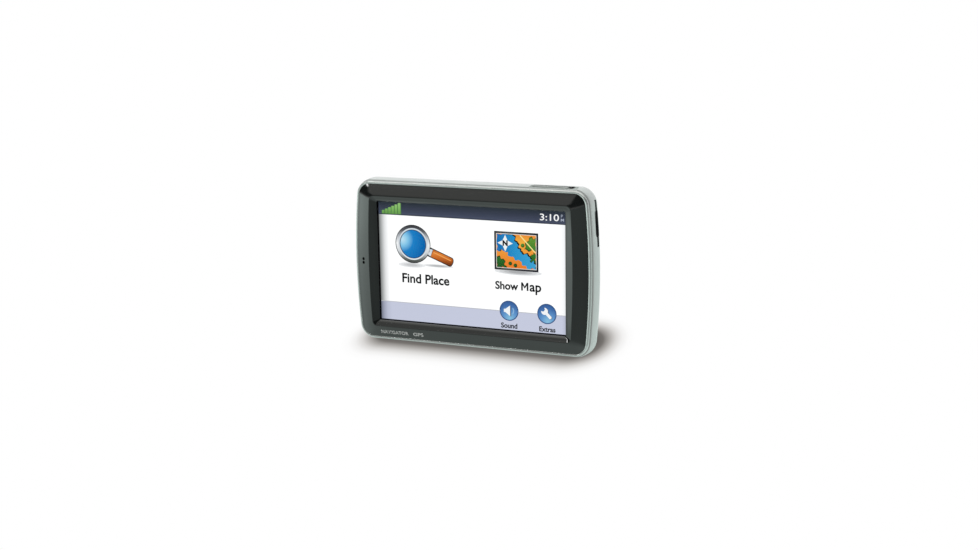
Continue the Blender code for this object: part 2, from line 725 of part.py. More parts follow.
def memory_card(finish):
    """Card with one cut corner. Its outer end sits just inside the slot."""
    inner_x = CARD_OUTER_X - CARD_LENGTH
    low, high = CARD_Z - CARD_WIDTH / 2, CARD_Z + CARD_WIDTH / 2
    chamfer = 4.2
    plan = (
        (inner_x, low),
        (CARD_OUTER_X, low),
        (CARD_OUTER_X, high),
        (inner_x + chamfer, high),
        (inner_x, high - chamfer),
    )
    rows = []
    for y in (CARD_Y - CARD_THICKNESS / 2, CARD_Y + CARD_THICKNESS / 2):
        rows.append([(x, y, z + MID_Z) for x, z in plan])
    origin = ((inner_x + CARD_OUTER_X) / 2, CARD_Y, MID_Z + CARD_Z)
    add_piece("memory_card", loft(rows), finish, origin)


def card_socket(finish):
    """Metal sleeve on the board, open towards the slot."""
    half = CARD_WIDTH / 2 + 0.4
    sleeve = block((37.0, 66.5), (-4.2, -1.1), (CARD_Z - half - 1.0, CARD_Z + half + 1.0))
    socket = add_piece("card_socket", sleeve, finish, (51.75, -1.1, MID_Z + CARD_Z))
    hollow = block((37.5, 80.0), (-3.85, -1.35), (CARD_Z - half, CARD_Z + half))
    cut(socket, add_cutter("card_socket_hollow", hollow, finish))


# ---------------------------------------------------------------- chassis, board and electronics


def mid_chassis(finish):
    """Metal sheet between display and board, with four legs that the case screws go into."""
    rows = [section(64.6, 42.6, 3.0, y) for y in CHASSIS_Y]
    chassis = add_piece("mid_chassis", loft(rows), finish, (0, CHASSIS_Y[0], MID_Z))
    for place, (x, z) in CASE_SCREWS.items():
        centre = (x, 0, MID_Z + z)
        leg = disc(2.6, CHASSIS_Y[0] + 0.2, BOARD_Y[0] - 0.15, centre, ALONG_Y, SCREW_STEPS)
        join(chassis, add_cutter(f"chassis_leg_{place}", leg, finish))
        bore = disc(1.05, -4.15, 0.0, centre, ALONG_Y, SCREW_STEPS)
        cut(chassis, add_cutter(f"chassis_leg_bore_{place}", bore, finish))
    for place, (x, z) in CHASSIS_SCREWS.items():
        hole = disc(1.1, -6.0, -3.0, (x, 0, MID_Z + z), ALONG_Y, SCREW_STEPS)
        cut(chassis, add_cutter(f"chassis_hole_{place}", hole, finish))
    lcd_gap = block((-13.5, 9.5), (-7.0, -3.0), (-50.0, -37.6))
    touch_gap = block((-44.5, -35.5), (-7.0, -3.0), (37.6, 50.0))
    cut(chassis, add_cutter("chassis_lcd_gap", lcd_gap, finish))
    cut(chassis, add_cutter("chassis_touch_gap", touch_gap, finish))
    spring_gap = block((57.5, 70.0), (-7.0, -3.0), (41.4, 50.0))
    cut(chassis, add_cutter("chassis_spring_gap", spring_gap, finish))


def chassis_screws(finish):
    """Short screws that hold the chassis to the lugs of the trim ring."""
    profile = ((0, -7.9), (0.9, -7.9), (0.9, -4.25), (1.9, -4.25), (1.9, -3.4), (0, -3.4))
    for place, (x, z) in CHASSIS_SCREWS.items():
        origin = (x, 0, MID_Z + z)
        shape = turned(profile, origin, ALONG_Y, SCREW_STEPS)
        add_piece(f"chassis_screw_{place}", shape, finish, origin)


def main_board(finish):
    """Circuit board with a clearance hole for each case screw."""
    rows = [section(BOARD_HALF_W, BOARD_HALF_H, 4.0, y) for y in BOARD_Y]
    board = add_piece("main_board", loft(rows), finish, (0, BOARD_Y[0], MID_Z))
    for place, (x, z) in CASE_SCREWS.items():
        hole = disc(1.4, -3.0, 3.0, (x, 0, MID_Z + z), ALONG_Y, SCREW_STEPS)
        cut(board, add_cutter(f"board_hole_{place}", hole, finish))


def chip(name, x, z, height, finish):
    """A package or connector on the rear face of the board."""
    y = (BOARD_Y[1] + 0.08, BOARD_Y[1] + 0.08 + height)
    origin = ((x[0] + x[1]) / 2, y[0], MID_Z + (z[0] + z[1]) / 2)
    return add_piece(name, block(x, y, z), finish, origin)


def board_parts(finishes):
    """Packages, shield, connectors and cells soldered to the main board."""
    chip("processor", (-45.0, -31.0), (-14.0, 0.0), 1.3, finishes["chip"])
    chip("memory_chip", (-28.0, -18.0), (-14.0, -2.0), 1.1, finishes["chip"])
    chip("flash_chip", (-45.0, -33.0), (2.5, 9.0), 1.1, finishes["chip"])
    chip("power_chip", (-28.0, -21.0), (1.5, 8.5), 0.9, finishes["chip"])
    shield = chip("rf_shield", (-36.0, -17.0), (13.0, 29.0), 2.4, finishes["steel"])
    inside = block((-35.7, -17.3), (0.0, 2.4), (13.3, 28.7))
    cut(shield, add_cutter("shield_hollow", inside, finishes["steel"]))

    usb = chip("usb_connector", (-67.6, -59.0), (USB_Z - 3.85, USB_Z + 3.85), 4.2, finishes["steel"])
    mouth = block((-80.0, -60.0), (0.65, 4.1), (USB_Z - 3.45, USB_Z + 3.45))
    cut(usb, add_cutter("usb_mouth", mouth, finishes["steel"]))

    place_z = (PHONES_Z - 3.0, PHONES_Z + 3.0)
    phones = chip("headphone_jack", (-66.7, -54.4), place_z, 6.1, finishes["black"])
    bore = disc(1.8, -80.0, -56.4, (0, 3.35, MID_Z + PHONES_Z), ALONG_X, 20)
    cut(phones, add_cutter("phones_bore", bore, finishes["black"]))

    half = 3.0
    place_x, place_z = (JACK_X - half, JACK_X + half), (JACK_Z - half, JACK_Z + half)
    base = chip("antenna_jack", place_x, place_z, 1.6, finishes["gold"])
    centre = (JACK_X, 0, MID_Z + JACK_Z)
    barrel = disc(2.2, 1.0, 10.1, centre, ALONG_Y, 20)
    join(base, add_cutter("jack_barrel", barrel, finishes["gold"]))
    socket = disc(1.5, 5.0, 12.0, centre, ALONG_Y, 20)
    cut(base, add_cutter("jack_socket", socket, finishes["gold"]))

    cell_centre = (52.0, 0, MID_Z + 22.0)
    cell = disc(6.0, 0.35, 2.5, cell_centre, ALONG_Y, 24)
    add_piece("backup_cell", cell, finishes["steel"], (52.0, 0.35, MID_Z + 22.0))

    front = (-2.55, -1.1)
    socket_block = block((-13.0, 9.0), front, (-38.5, -35.0))
    add_piece("lcd_connector", socket_block, finishes["cream"], (-2.0, -1.1, MID_Z - 36.7))
    touch_block = block((-44.0, -36.0), front, (35.0, 38.5))
    add_piece("touch_connector", touch_block, finishes["cream"], (-40.0, -1.1, MID_Z + 36.7))


def dock_contacts(finishes):
    """Tall contact block under the cradle socket, with four pins that reach into its windows."""
    body = block((-8.4, 8.4), (0.35, 9.6), (-30.0, -26.1))
    contacts = add_piece("dock_contacts", body, finishes["gold"], (0, 0.35, MID_Z - 28.0))
    for i in range(4):
        x = (i - 1.5) * 4.0
        pin = block((x - 0.7, x + 0.7), (9.0, 12.7), (-28.9, -27.2))
        join(contacts, add_cutter(f"dock_pin_{i}", pin, finishes["gold"]))


def satellite_antenna(finishes):
    """Ceramic patch on its own small board, with the lead to the radio shield."""
    ground = block((-14.0, 14.0), (3.4, 4.2), (12.8, 40.6))
    add_piece("antenna_board", ground, finishes["board"], (0, 3.4, MID_Z + 26.7))
    patch = bevelled(block((-12.5, 12.5), (4.3, 8.3), (14.2, 39.2)), 0.4)
    add_piece("patch_antenna", patch, finishes["ceramic"], (0, 4.3, MID_Z + 26.7))
    electrode = block((-10.5, 10.5), (8.35, 8.5), (16.2, 37.2))
    add_piece("patch_electrode", electrode, finishes["silver"], (0, 8.35, MID_Z + 26.7))
    corners = (
        (-14.3, 3.8, MID_Z + 20.0),
        (-22.0, 3.8, MID_Z + 20.0),
        (-24.0, 3.6, MID_Z + 24.0),
        (-27.0, 3.5, MID_Z + 27.0),
    )
    lead = pipe(bend_path(corners), 0.55)
    add_piece("antenna_coax", lead, finishes["black"], corners[0])


def speaker(finishes):
    """Basket, cone and magnet of the loudspeaker behind the grille, and its lead."""
    centre = (SPEAKER_X, 0, MID_Z + SPEAKER_Z)
    basket = (
        (16.8, 10.85), (16.8, 10.2), (15.6, 10.2), (12.4, 5.2), (9.6, 5.2),
        (9.6, 5.7), (12.1, 5.7), (15.1, 10.4), (15.1, 10.85),
    )  # fmt: skip
    shape = turned(basket, centre, ALONG_Y)
    add_piece("speaker_basket", shape, finishes["steel"], (centre[0], 5.2, centre[2]))
    magnet = ((0, 1.2), (11.2, 1.2), (11.2, 5.05), (4.4, 5.05), (4.4, 7.4), (0, 7.4))
    shape = turned(magnet, centre, ALONG_Y)
    add_piece("speaker_magnet", shape, finishes["magnet"], (centre[0], 1.2, centre[2]))
    cone = (
        (0, 8.9), (2.8, 8.65), (4.6, 8.1), (5.8, 8.1), (12.6, 10.0), (13.6, 10.65), (14.7, 10.65),
        (14.7, 10.3), (13.8, 10.3), (12.9, 9.7), (5.6, 7.6), (5.4, 6.0), (5.0, 6.0), (4.8, 7.75),
        (2.7, 8.3), (0, 8.55),
    )  # fmt: skip
    shape = turned(cone, centre, ALONG_Y)
    add_piece("speaker_cone", shape, finishes["paper"], (centre[0], 8.9, centre[2]))
    gasket = ((16.7, 10.95), (16.7, 11.2), (15.3, 11.2), (15.3, 10.95))
    shape = turned(gasket, centre, ALONG_Y)
    add_piece("speaker_gasket", shape, finishes["foam"], (centre[0], 10.95, centre[2]))
    corners = (
        (SPEAKER_X - 14.5, 6.6, centre[2] + 0.0),
        (SPEAKER_X - 17.0, 6.0, centre[2] - 2.0),
        (SPEAKER_X - 19.5, 2.5, centre[2] - 5.0),
        (SPEAKER_X - 19.5, 0.9, centre[2] - 9.0),
        (SPEAKER_X - 19.5, 0.9, centre[2] - 12.0),
    )
    lead = pipe(bend_path(corners, 1.2), 0.5)
    add_piece("speaker_wire", lead, finishes["red"], corners[0])


def battery(finishes):
    """Flat rechargeable cell between the board and the back, and its lead."""
    pack = bevelled(block(BATTERY_X, BATTERY_Y, BATTERY_Z), 1.2, 2)
    add_piece("battery_cell", pack, finishes["battery"], (-36.5, BATTERY_Y[0], MID_Z - 7.0))
    corners = (
        (BATTERY_X[1] + 0.4, 7.5, MID_Z - 6.0),
        (BATTERY_X[1] + 4.5, 7.5, MID_Z - 6.0),
        (BATTERY_X[1] + 6.0, 3.0, MID_Z - 8.0),
        (BATTERY_X[1] + 6.0, 0.9, MID_Z - 12.0),
        (BATTERY_X[1] + 6.0, 0.9, MID_Z - 15.0),
    )
    lead = pipe(bend_path(corners), 0.5)
    add_piece("battery_wire", lead, finishes["red"], corners[0])


def all_finishes():
    return {
        "bezel": material("bezel_gloss_plastic", (0.03, 0.032, 0.031), 0.25),
        "trim": material("trim_silver", (0.62, 0.65, 0.63), 0.32, 0.4),
        "shell": material("housing_silver", (0.45, 0.5, 0.47), 0.42, 0.3),
        "black": material("black_plastic", (0.02, 0.02, 0.022), 0.5),
        "key": material("slider_grey_plastic", (0.12, 0.13, 0.13), 0.45),
        "rubber": material("black_rubber", (0.025, 0.025, 0.025), 0.8),
        "foam": material("gasket_foam", (0.03, 0.03, 0.03), 0.95),
        "glass": material("touch_glass", (0.75, 0.78, 0.8), 0.1),
        "screen": material("display_glass", (0.7, 0.75, 0.85), 0.15),
        "clear": material("light_guide", (0.85, 0.88, 0.9), 0.2),
        "led": material("led_strip", (0.9, 0.85, 0.4), 0.4),
        "steel": material("sheet_steel", (0.55, 0.56, 0.57), 0.35, 1.0),
        "screw": material("screw_steel", (0.25, 0.25, 0.26), 0.35, 1.0),
        "gold": material("gold_contacts", (0.83, 0.62, 0.25), 0.3, 1.0),
        "silver": material("silver_electrode", (0.8, 0.8, 0.78), 0.35, 1.0),
        "board": material("circuit_board", (0.02, 0.16, 0.07), 0.45),
        "chip": material("chip_package", (0.03, 0.03, 0.035), 0.6),
        "cream": material("connector_plastic", (0.75, 0.7, 0.58), 0.5),
        "flex": material("polyimide_flex", (0.55, 0.25, 0.05), 0.35),
        "ceramic": material("patch_ceramic", (0.72, 0.66, 0.55), 0.55),
        "magnet": material("speaker_magnet_black", (0.06, 0.06, 0.065), 0.5, 0.5),
        "paper": material("speaker_cone_paper", (0.05, 0.05, 0.05), 0.85),
        "battery": material("battery_foil", (0.45, 0.47, 0.5), 0.4, 0.6),
        "red": material("wire_insulation", (0.5, 0.03, 0.02), 0.5),
        "card": material("card_plastic", (0.015, 0.016, 0.02), 0.45),
    }


def group_under_root():
    """Parents every piece to one empty at the object's origin."""
    root = bpy.data.objects.new("navigator", None)
    bpy.context.scene.collection.objects.link(root)
    for obj in bpy.context.scene.collection.objects:
        if obj is not root:
            obj.parent = root


def main():
    clear_scene()
    finishes = all_finishes()
    front_bezel(finishes["bezel"])
    trim_ring(finishes["trim"])
    bezel_gasket(finishes["foam"])
    display_stack(finishes)
    flexes(finishes["flex"])
    microphone(finishes)
    rear_housing(finishes["shell"])
    speaker_grille(finishes["black"])
    cradle_socket(finishes["black"])
    antenna_cap(finishes["rubber"])
    case_screws(finishes["screw"])
    power_slider(finishes["key"])
    slider_spring(finishes["steel"])
    power_switch(finishes)
    memory_card(finishes["card"])
    card_socket(finishes["steel"])
    mid_chassis(finishes["steel"])
    chassis_screws(finishes["screw"])
    main_board(finishes["board"])
    board_parts(finishes)
    dock_contacts(finishes)
    satellite_antenna(finishes)
    speaker(finishes)
    battery(finishes)
    group_under_root()


main()
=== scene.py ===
"""Looks of a portable satellite navigator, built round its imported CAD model.

Shapes are worked out in millimetres: x to the right of the middle, y back from the middle of the
depth, and z up from the middle of the display. Every mesh is stored in metres in the CAD's frame.
"""

import math

import bmesh
import bpy
from mathutils import Matrix, Vector


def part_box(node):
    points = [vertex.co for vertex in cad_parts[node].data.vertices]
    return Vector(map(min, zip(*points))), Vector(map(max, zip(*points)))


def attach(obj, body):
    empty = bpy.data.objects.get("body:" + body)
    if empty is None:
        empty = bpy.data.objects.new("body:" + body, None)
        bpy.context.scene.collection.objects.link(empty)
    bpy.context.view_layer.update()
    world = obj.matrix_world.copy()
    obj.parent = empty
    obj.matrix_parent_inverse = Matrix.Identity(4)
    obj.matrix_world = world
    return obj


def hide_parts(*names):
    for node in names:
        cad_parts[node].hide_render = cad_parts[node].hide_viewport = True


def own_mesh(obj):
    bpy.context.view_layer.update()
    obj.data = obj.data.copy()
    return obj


MM = 0.001
BODY = "navigator_body"

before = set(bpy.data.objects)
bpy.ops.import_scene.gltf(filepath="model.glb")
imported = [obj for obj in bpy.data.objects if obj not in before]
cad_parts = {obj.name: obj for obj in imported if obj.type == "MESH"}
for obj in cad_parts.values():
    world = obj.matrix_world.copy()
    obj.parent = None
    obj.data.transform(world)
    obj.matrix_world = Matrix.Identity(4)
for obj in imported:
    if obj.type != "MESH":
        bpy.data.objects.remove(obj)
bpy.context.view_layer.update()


def corners_mm(node):
    """A node's lowest and highest corners in the CAD's frame."""
    return [Vector(corner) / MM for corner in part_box(node)]


MID_Z = sum(corner.z for corner in corners_mm("touch_panel")) / 2


def box_mm(node):
    """A node's lowest and highest corners, with z from the middle of the display."""
    return [corner - Vector((0, 0, MID_Z)) for corner in corners_mm(node)]


def centre_mm(node):
    return [(low + high) / 2 for low, high in zip(*box_mm(node))]


SCREEN_Y = box_mm("lcd_panel")[0].y
SCREEN_HALF_W, SCREEN_HALF_H = 56.65, 34.0

# The left and right sides bow outward: towards the corners x shrinks by this times z squared.
SIDE_BOW, RIDGE_BOW = 0.00125, 0.0009
CORNER_STEPS = SIDE_STEPS = 14
ROUND_STEPS = 64

ALONG_X = Matrix.Rotation(math.radians(90), 3, "Y")
ALONG_Y = Matrix.Rotation(math.radians(-90), 3, "X")


# ---------------------------------------------------------------- materials

# Noise scales, in waves per metre, and the Voronoi scale of the lacquer's flakes.
GOLD = (0.86, 0.63, 0.25)

CLOUDS, WEAR_PATCHES, SOFT_CLOUDS, SMEARS = 55.0, 240.0, 30.0, 35.0
LACQUER_GRAIN, FLAKES, PIXELS = 1600.0, 9000.0, 7000.0


def srgb(r, g, b):
    """A display colour, 0 to 255, as linear light."""

    def linear(value):
        value /= 255
        return value / 12.92 if value <= 0.04045 else ((value + 0.055) / 1.055) ** 2.4

    return (linear(r), linear(g), linear(b), 1.0)


class Nodes:
    """A short way to add and join the shader nodes of a material or a world."""

    def __init__(self, owner, output="OutputMaterial", coordinate="Object"):
        owner.use_nodes = True
        self.owner = owner
        self.tree = owner.node_tree
        self.tree.nodes.clear()
        self.out = self.add(output)
        self.place = self.add("TexCoord").outputs[coordinate]

    def add(self, kind, inputs=None, **settings):
        node = self.tree.nodes.new("ShaderNode" + kind)
        for key, value in settings.items():
            setattr(node, key, value)
        for key, value in (inputs or {}).items():
            if isinstance(value, bpy.types.NodeSocket):
                self.tree.links.new(value, node.inputs[key])
            else:
                node.inputs[key].default_value = value
        return node

    def math(self, operation, first, second=0.0):
        return self.add("Math", {0: first, 1: second}, operation=operation).outputs[0]

    def plus(self, first, second):
        return self.math("ADD", first, second)

    def minus(self, first, second):
        return self.math("SUBTRACT", first, second)

    def times(self, first, second):
        return self.math("MULTIPLY", first, second)

    def scaled(self, colour, value):
        """A colour made brighter or darker by a value."""
        return self.add("VectorMath", {0: colour, "Scale": value}, operation="SCALE").outputs[0]

    def noise(self, scale, detail):
        inputs = {"Vector": self.place, "Scale": scale, "Detail": detail, "Roughness": 0.5}
        return self.add("TexNoise", inputs).outputs["Fac"]

    def spread(self, value, low, high, to_low=0.0, to_high=1.0):
        """A value moved from one range to another, and kept inside it."""
        inputs = {"Value": value, 1: low, 2: high, 3: to_low, 4: to_high}
        return self.add("MapRange", inputs).outputs[0]

    def between(self, share, low, high):
        """A value that goes from low to high as the share goes from 0 to 1."""
        return self.plus(low, self.times(share, self.minus(high, low)))

    def mix(self, share, first, second):
        return self.add("Mix", {0: share, 6: first, 7: second}, data_type="RGBA").outputs[2]

    def ramp(self, value, stops):
        node = self.add("ValToRGB", {"Fac": value})
        elements = node.color_ramp.elements
        while len(elements) < len(stops):
            elements.new(0.5)
        for element, (position, colour) in zip(elements, stops):
            element.position = position
            element.color = colour
        return node.outputs["Color"]

    def bump(self, height, strength, distance):
        inputs = {"Height": height, "Strength": strength, "Distance": distance}
        return self.add("Bump", inputs).outputs["Normal"]

    def surface(self, kind, inputs):
        """Ends the tree with a shader."""
        shader = self.add(kind, inputs)
        self.tree.links.new(shader.outputs[0], self.out.inputs["Surface"])
        return self.owner


def new_material(name):
    return Nodes(bpy.data.materials.new(name))


def coat(name, colour, rough, metallic=0.0, grain=2500, bump=0.1, depth=0.00002, mottle=0.06,
         wear=0.0, specular=0.5, clear=0.0):
    """A moulded, painted or stamped surface: fine grain, uneven colour and gloss, and worn edges."""

    def shade(share, more=0.0):
        return tuple(min(part * share + more, 1.0) for part in colour[:3]) + (1.0,)

    nodes = new_material(name)
    cloudy = nodes.noise(CLOUDS, 4.0)
    speckle = nodes.noise(grain, 2.0)
    base = nodes.mix(nodes.spread(cloudy, 0.3, 0.7), shade(1 - mottle), shade(1 + mottle))
    if wear:
        edge = nodes.spread(nodes.add("NewGeometry").outputs["Pointiness"], 0.53, 0.62)
        patchy = nodes.spread(nodes.noise(WEAR_PATCHES, 5.0), 0.42, 0.62, 0.0, wear)
        base = nodes.mix(nodes.times(edge, patchy), base, shade(1.6, 0.05))
    uneven = nodes.plus(nodes.times(cloudy, 0.5), nodes.times(speckle, 0.5))
    return nodes.surface("BsdfPrincipled", {
        "Base Color": base,
        "Roughness": nodes.spread(uneven, 0.25, 0.75, rough * 0.85, min(rough * 1.15, 1.0)),
        "Metallic": metallic,
        "Specular IOR Level": specular,
        "Coat Weight": clear,
        "Coat Roughness": 0.08,
        "Normal": nodes.bump(speckle, bump, depth),
    })


def silver_lacquer(name, colour, rough, metallic, flake):
    """Metallic lacquer on plastic: tiny bright flakes under a satin clear coat."""
    nodes = new_material(name)
    cells = nodes.add("TexVoronoi", {"Vector": nodes.place, "Scale": FLAKES})
    sparkle = nodes.spread(cells.outputs["Color"], 0.0, 1.0, 1 - flake, 1 + flake)
    cloudy = nodes.spread(nodes.noise(SOFT_CLOUDS, 3.0), 0.3, 0.7, 0.985, 1.015)
    grain = nodes.noise(LACQUER_GRAIN, 2.0)
    return nodes.surface("BsdfPrincipled", {
        "Base Color": nodes.scaled(colour[:3], nodes.times(sparkle, cloudy)),
        "Metallic": metallic,
        "Roughness": nodes.spread(grain, 0.3, 0.7, rough * 0.9, rough * 1.1),
        "Coat Weight": 0.25,
        "Coat Roughness": 0.18,
        "Normal": nodes.bump(grain, 0.03, 0.00001),
    })


def clear_film(name, tint, reflect, rough):
    """Clear panel: light passes straight through, with a weak reflection from the front."""
    nodes = new_material(name)
    smear = nodes.spread(nodes.noise(SMEARS, 4.0), 0.3, 0.7, rough, rough * 1.6)
    see = nodes.add("BsdfTransparent", {"Color": tint})
    shine = nodes.add("BsdfGlossy", {"Color": (1, 1, 1, 1), "Roughness": smear})
    share = nodes.times(nodes.add("Fresnel", {"IOR": 1.45}).outputs[0], reflect)
    return nodes.surface("MixShader", {0: share, 1: see.outputs[0], 2: shine.outputs[0]})


def lit(name, stops, along="z", low=-1.0, high=1.0, level=1.0):
    """Light from the display: a ramp along x or z, or out from a centre, with a faint pixel grid.

    A stop is a share of the way from low to high, and a display colour.
    """
    nodes = new_material(name)
    if along in ("x", "z"):
        place = nodes.add("SeparateXYZ", {0: nodes.place}).outputs[along.upper()]
    else:
        middle = Vector((along[0], SCREEN_Y, along[1] + MID_Z)) * MM
        away = nodes.add("VectorMath", {0: nodes.place, 1: middle}, operation="DISTANCE")
        place = away.outputs["Value"]
    lift = MID_Z if along == "z" else 0.0
    share = nodes.spread(place, (low + lift) * MM, (high + lift) * MM)
    colour = nodes.ramp(share, [(position, srgb(*rgb)) for position, *rgb in stops])
    grid = nodes.add("TexChecker", {"Vector": nodes.place, "Scale": PIXELS})
    pixel = nodes.spread(grid.outputs["Fac"], 0.0, 1.0, level * 0.99, level * 1.01)
    return nodes.surface("Emission", {"Color": colour, "Strength": pixel})


def plain_lit(name, *colour):
    return lit(name, ((0.0, *colour), (1.0, *colour)))


# ---------------------------------------------------------------- shapes


def span(middle, half):
    return (middle - half, middle + half)


def circle(x, z, radius, steps=48, start=0.0, sweep=360.0):
    """Points round a circle, or along an arc from end to end."""
    count = steps if sweep == 360 else steps + 1
    turns = [math.radians(start + sweep * step / steps) for step in range(count)]
    return [(x + radius * math.cos(turn), z + radius * math.sin(turn)) for turn in turns]


def arc_band(x, z, inner, outer, start, sweep, steps):
    """Outline of part of a flat ring."""
    out = circle(x, z, outer, steps, start, sweep)
    return out + circle(x, z, inner, steps, start, sweep)[::-1]


def outline(half_w, top, bottom, radius, bow):
    """Points (x, z) round a rounded rectangle, with its sides bowed outward."""
    right, high, low = half_w - radius, top - radius, -bottom + radius
    points = []
    for quarter, (x, z) in enumerate(((right, high), (-right, high), (-right, low), (right, low))):
        points += circle(x, z, radius, CORNER_STEPS, 90 * quarter, 90)
        if quarter in (1, 3):
            far = low if quarter == 1 else high
            side_x = points[-1][0]
            points += [(side_x, z + (far - z) * step / SIDE_STEPS) for step in range(1, SIDE_STEPS)]
    return [(x * (1 - bow * z * z / half_w), z) for x, z in points]


def section(half_w, top, bottom, radius, bow, y):
    return [(x, y, z) for x, z in outline(half_w, top, bottom, radius, bow)]


def smooth_rows(rows, steps):
    """Rows of numbers with a smooth curve through them that stays between its neighbours."""
    made = []
    for i, (start, end) in enumerate(zip(rows, rows[1:])):
        before, after = rows[max(i - 1, 0)], rows[min(i + 2, len(rows) - 1)]
        for step in range(steps):
            t = step / steps
            row = []
            for b, s, e, a in zip(before, start, end, after):
                square = 2 * b - 5 * s + 4 * e - a
                cube = 3 * s - b - 3 * e + a
                curve = 0.5 * (2 * s + (e - b) * t + square * t * t + cube * t**3)
                row.append(min(max(curve, min(s, e)), max(s, e)))
            made.append(tuple(row))
    return made + [rows[-1]]


def loft(sections, ring=False):
    """A skin over loops of points, closed at both ends or joined into a ring."""
    mesh = bmesh.new()
    rows = [[mesh.verts.new(point) for point in row] for row in sections]
    for row, following in zip(rows, rows[1:] + rows[:1] if ring else rows[1:]):
        for i in range(len(row)):
            j = (i + 1) % len(row)
            mesh.faces.new((row[i], row[j], following[j], following[i]))
    if not ring:
        mesh.faces.new(rows[0])
        mesh.faces.new(rows[-1])
    return mesh


def block(*ranges):
    """A box from its ranges along x, y and z."""
    low, high = (Vector(corner) for corner in zip(*ranges))
    mesh = bmesh.new()
    bmesh.ops.create_cube(mesh, size=1.0)
    bmesh.ops.scale(mesh, verts=mesh.verts[:], vec=high - low)
    bmesh.ops.translate(mesh, verts=mesh.verts[:], vec=(low + high) / 2)
    return mesh


def rounded_bar(x, y, z, radius, along="x"):
    """A box along x or y with rounded long edges."""
    across, length = (y, x) if along == "x" else (x, y)
    points = []
    for quarter, (i, j) in enumerate(((1, 1), (0, 1), (0, 0), (1, 0))):
        corner_a = across[i] + (-radius if i else radius)
        corner_z = z[j] + (-radius if j else radius)
        points += circle(corner_a, corner_z, radius, 6, 90 * quarter, 90)
    if along == "x":
        return loft([[(end, pa, pz) for pa, pz in points] for end in length])
    return loft([[(pa, end, pz) for pa, pz in points] for end in length])


def turned(profile, centre, axis, steps=ROUND_STEPS):
    """A turned solid, from a profile of (radius, height) that runs from axis to axis."""
    mesh = bmesh.new()
    rings = []
    for radius, height in profile:
        ring = []
        for step in range(1 if radius == 0 else steps):
            turn = 2 * math.pi * step / steps
            local = Vector((radius * math.cos(turn), radius * math.sin(turn), height))
            ring.append(mesh.verts.new(axis @ local + Vector(centre)))
        rings.append(ring)
    for first, second in zip(rings, rings[1:]):
        for i in range(steps):
            j = (i + 1) % steps
            corners = [first[i % len(first)], first[j % len(first)]]
            corners += [second[j % len(second)], second[i % len(second)]]
            unique = list(dict.fromkeys(corners))
            if len(unique) > 2:
                mesh.faces.new(unique)
    return mesh


def disc(radius, low, high, centre, axis=ALONG_Y, steps=ROUND_STEPS):
    return turned(((0, low), (radius, low), (radius, high), (0, high)), centre, axis, steps)


def prism(points, depths):
    """A flat shape from points (x, z), with its faces at two values of y."""
    return loft([[(x, y, z) for x, z in points] for y in depths])


def make(name, mesh_in_mm, finish, angle=35, inner=()):
    """An object in metres from a mesh in millimetres. Inner finishes are for its hidden faces."""
    bmesh.ops.recalc_face_normals(mesh_in_mm, faces=mesh_in_mm.faces[:])
    bmesh.ops.translate(mesh_in_mm, verts=mesh_in_mm.verts[:], vec=Vector((0, 0, MID_Z)))
    bmesh.ops.scale(mesh_in_mm, verts=mesh_in_mm.verts[:], vec=(MM, MM, MM))
    mesh = bpy.data.meshes.new(name)
    mesh_in_mm.to_mesh(mesh)
    mesh_in_mm.free()
    mesh.shade_smooth()
    mesh.set_sharp_from_angle(angle=math.radians(angle))
    for material in (finish, *inner):
        mesh.materials.append(material)
    obj = bpy.data.objects.new(name, mesh)
    bpy.context.scene.collection.objects.link(obj)
    return obj


def register(obj, body=BODY, stands_for=None):
    """Lets an object ride on a body and stand for a CAD node, which is hidden."""
    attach(obj, body)
    if stands_for:
        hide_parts(stands_for)


def piece(name, mesh_in_mm, finish, body=BODY, stands_for=None):
    obj = make(name, mesh_in_mm, finish)
    register(obj, body, stands_for)
    return obj


def carve(obj, tools, operation="DIFFERENCE", angle=35, cut_finish=None):
    """Cuts or joins shapes and keeps the result as the object's own mesh."""
    helpers = [make("helper", tool, cut_finish or obj.data.materials[0]) for tool in tools]
    for helper in helpers:
        modifier = obj.modifiers.new("carve", "BOOLEAN")
        modifier.operation = operation
        modifier.solver = "EXACT"
        modifier.material_mode = "TRANSFER"
        modifier.object = helper
    bpy.context.view_layer.update()
    graph = bpy.context.evaluated_depsgraph_get()
    made = bpy.data.meshes.new_from_object(obj.evaluated_get(graph))
    obj.modifiers.clear()
    obj.data = made
    made.shade_smooth()
    made.set_sharp_from_angle(angle=math.radians(angle))
    for helper in helpers:
        bpy.data.objects.remove(helper, do_unlink=True)


def bevel(obj, width):
    modifier = obj.modifiers.new("bevel", "BEVEL")
    modifier.width = width * MM
    modifier.segments = 2
    modifier.limit_method = "ANGLE"
    modifier.angle_limit = math.radians(40)


# ---------------------------------------------------------------- casing

# Rows of half width, height above the middle, depth below it, corner radius and y.
SHELL_OUTER = (
    (71.6, 45.6, 45.6, 7.6, -9.1),
    (72.2, 46.2, 46.25, 8.1, -8.6),
    (72.75, 46.5, 46.65, 8.3, -6.0),
    (73.0, 46.65, 46.65, 8.4, -1.5),
    (71.9, 46.2, 46.65, 8.5, 2.5),
    (70.4, 45.35, 46.65, 8.7, 5.8),
    (68.9, 44.1, 46.65, 8.9, 8.6),
    (67.1, 42.6, 45.2, 9.0, 10.9),
    (65.3, 41.1, 42.9, 8.6, 12.4),
    (63.7, 39.5, 40.8, 8.0, 13.2),
    (61.8, 37.9, 38.8, 7.2, 13.5),
)
SHELL_INNER = (
    (62.9, 38.9, 39.8, 6.2, 11.3),
    (65.8, 41.1, 43.2, 6.8, 9.3),
    (68.7, 43.3, 44.5, 6.8, 5.8),
    (70.5, 44.5, 44.65, 6.6, 1.5),
    (70.9, 44.6, 44.65, 6.4, -3.0),
    (69.95, 43.95, 43.95, 6.2, -9.1),
)
OUTER_STEPS, INNER_STEPS = 4, 2
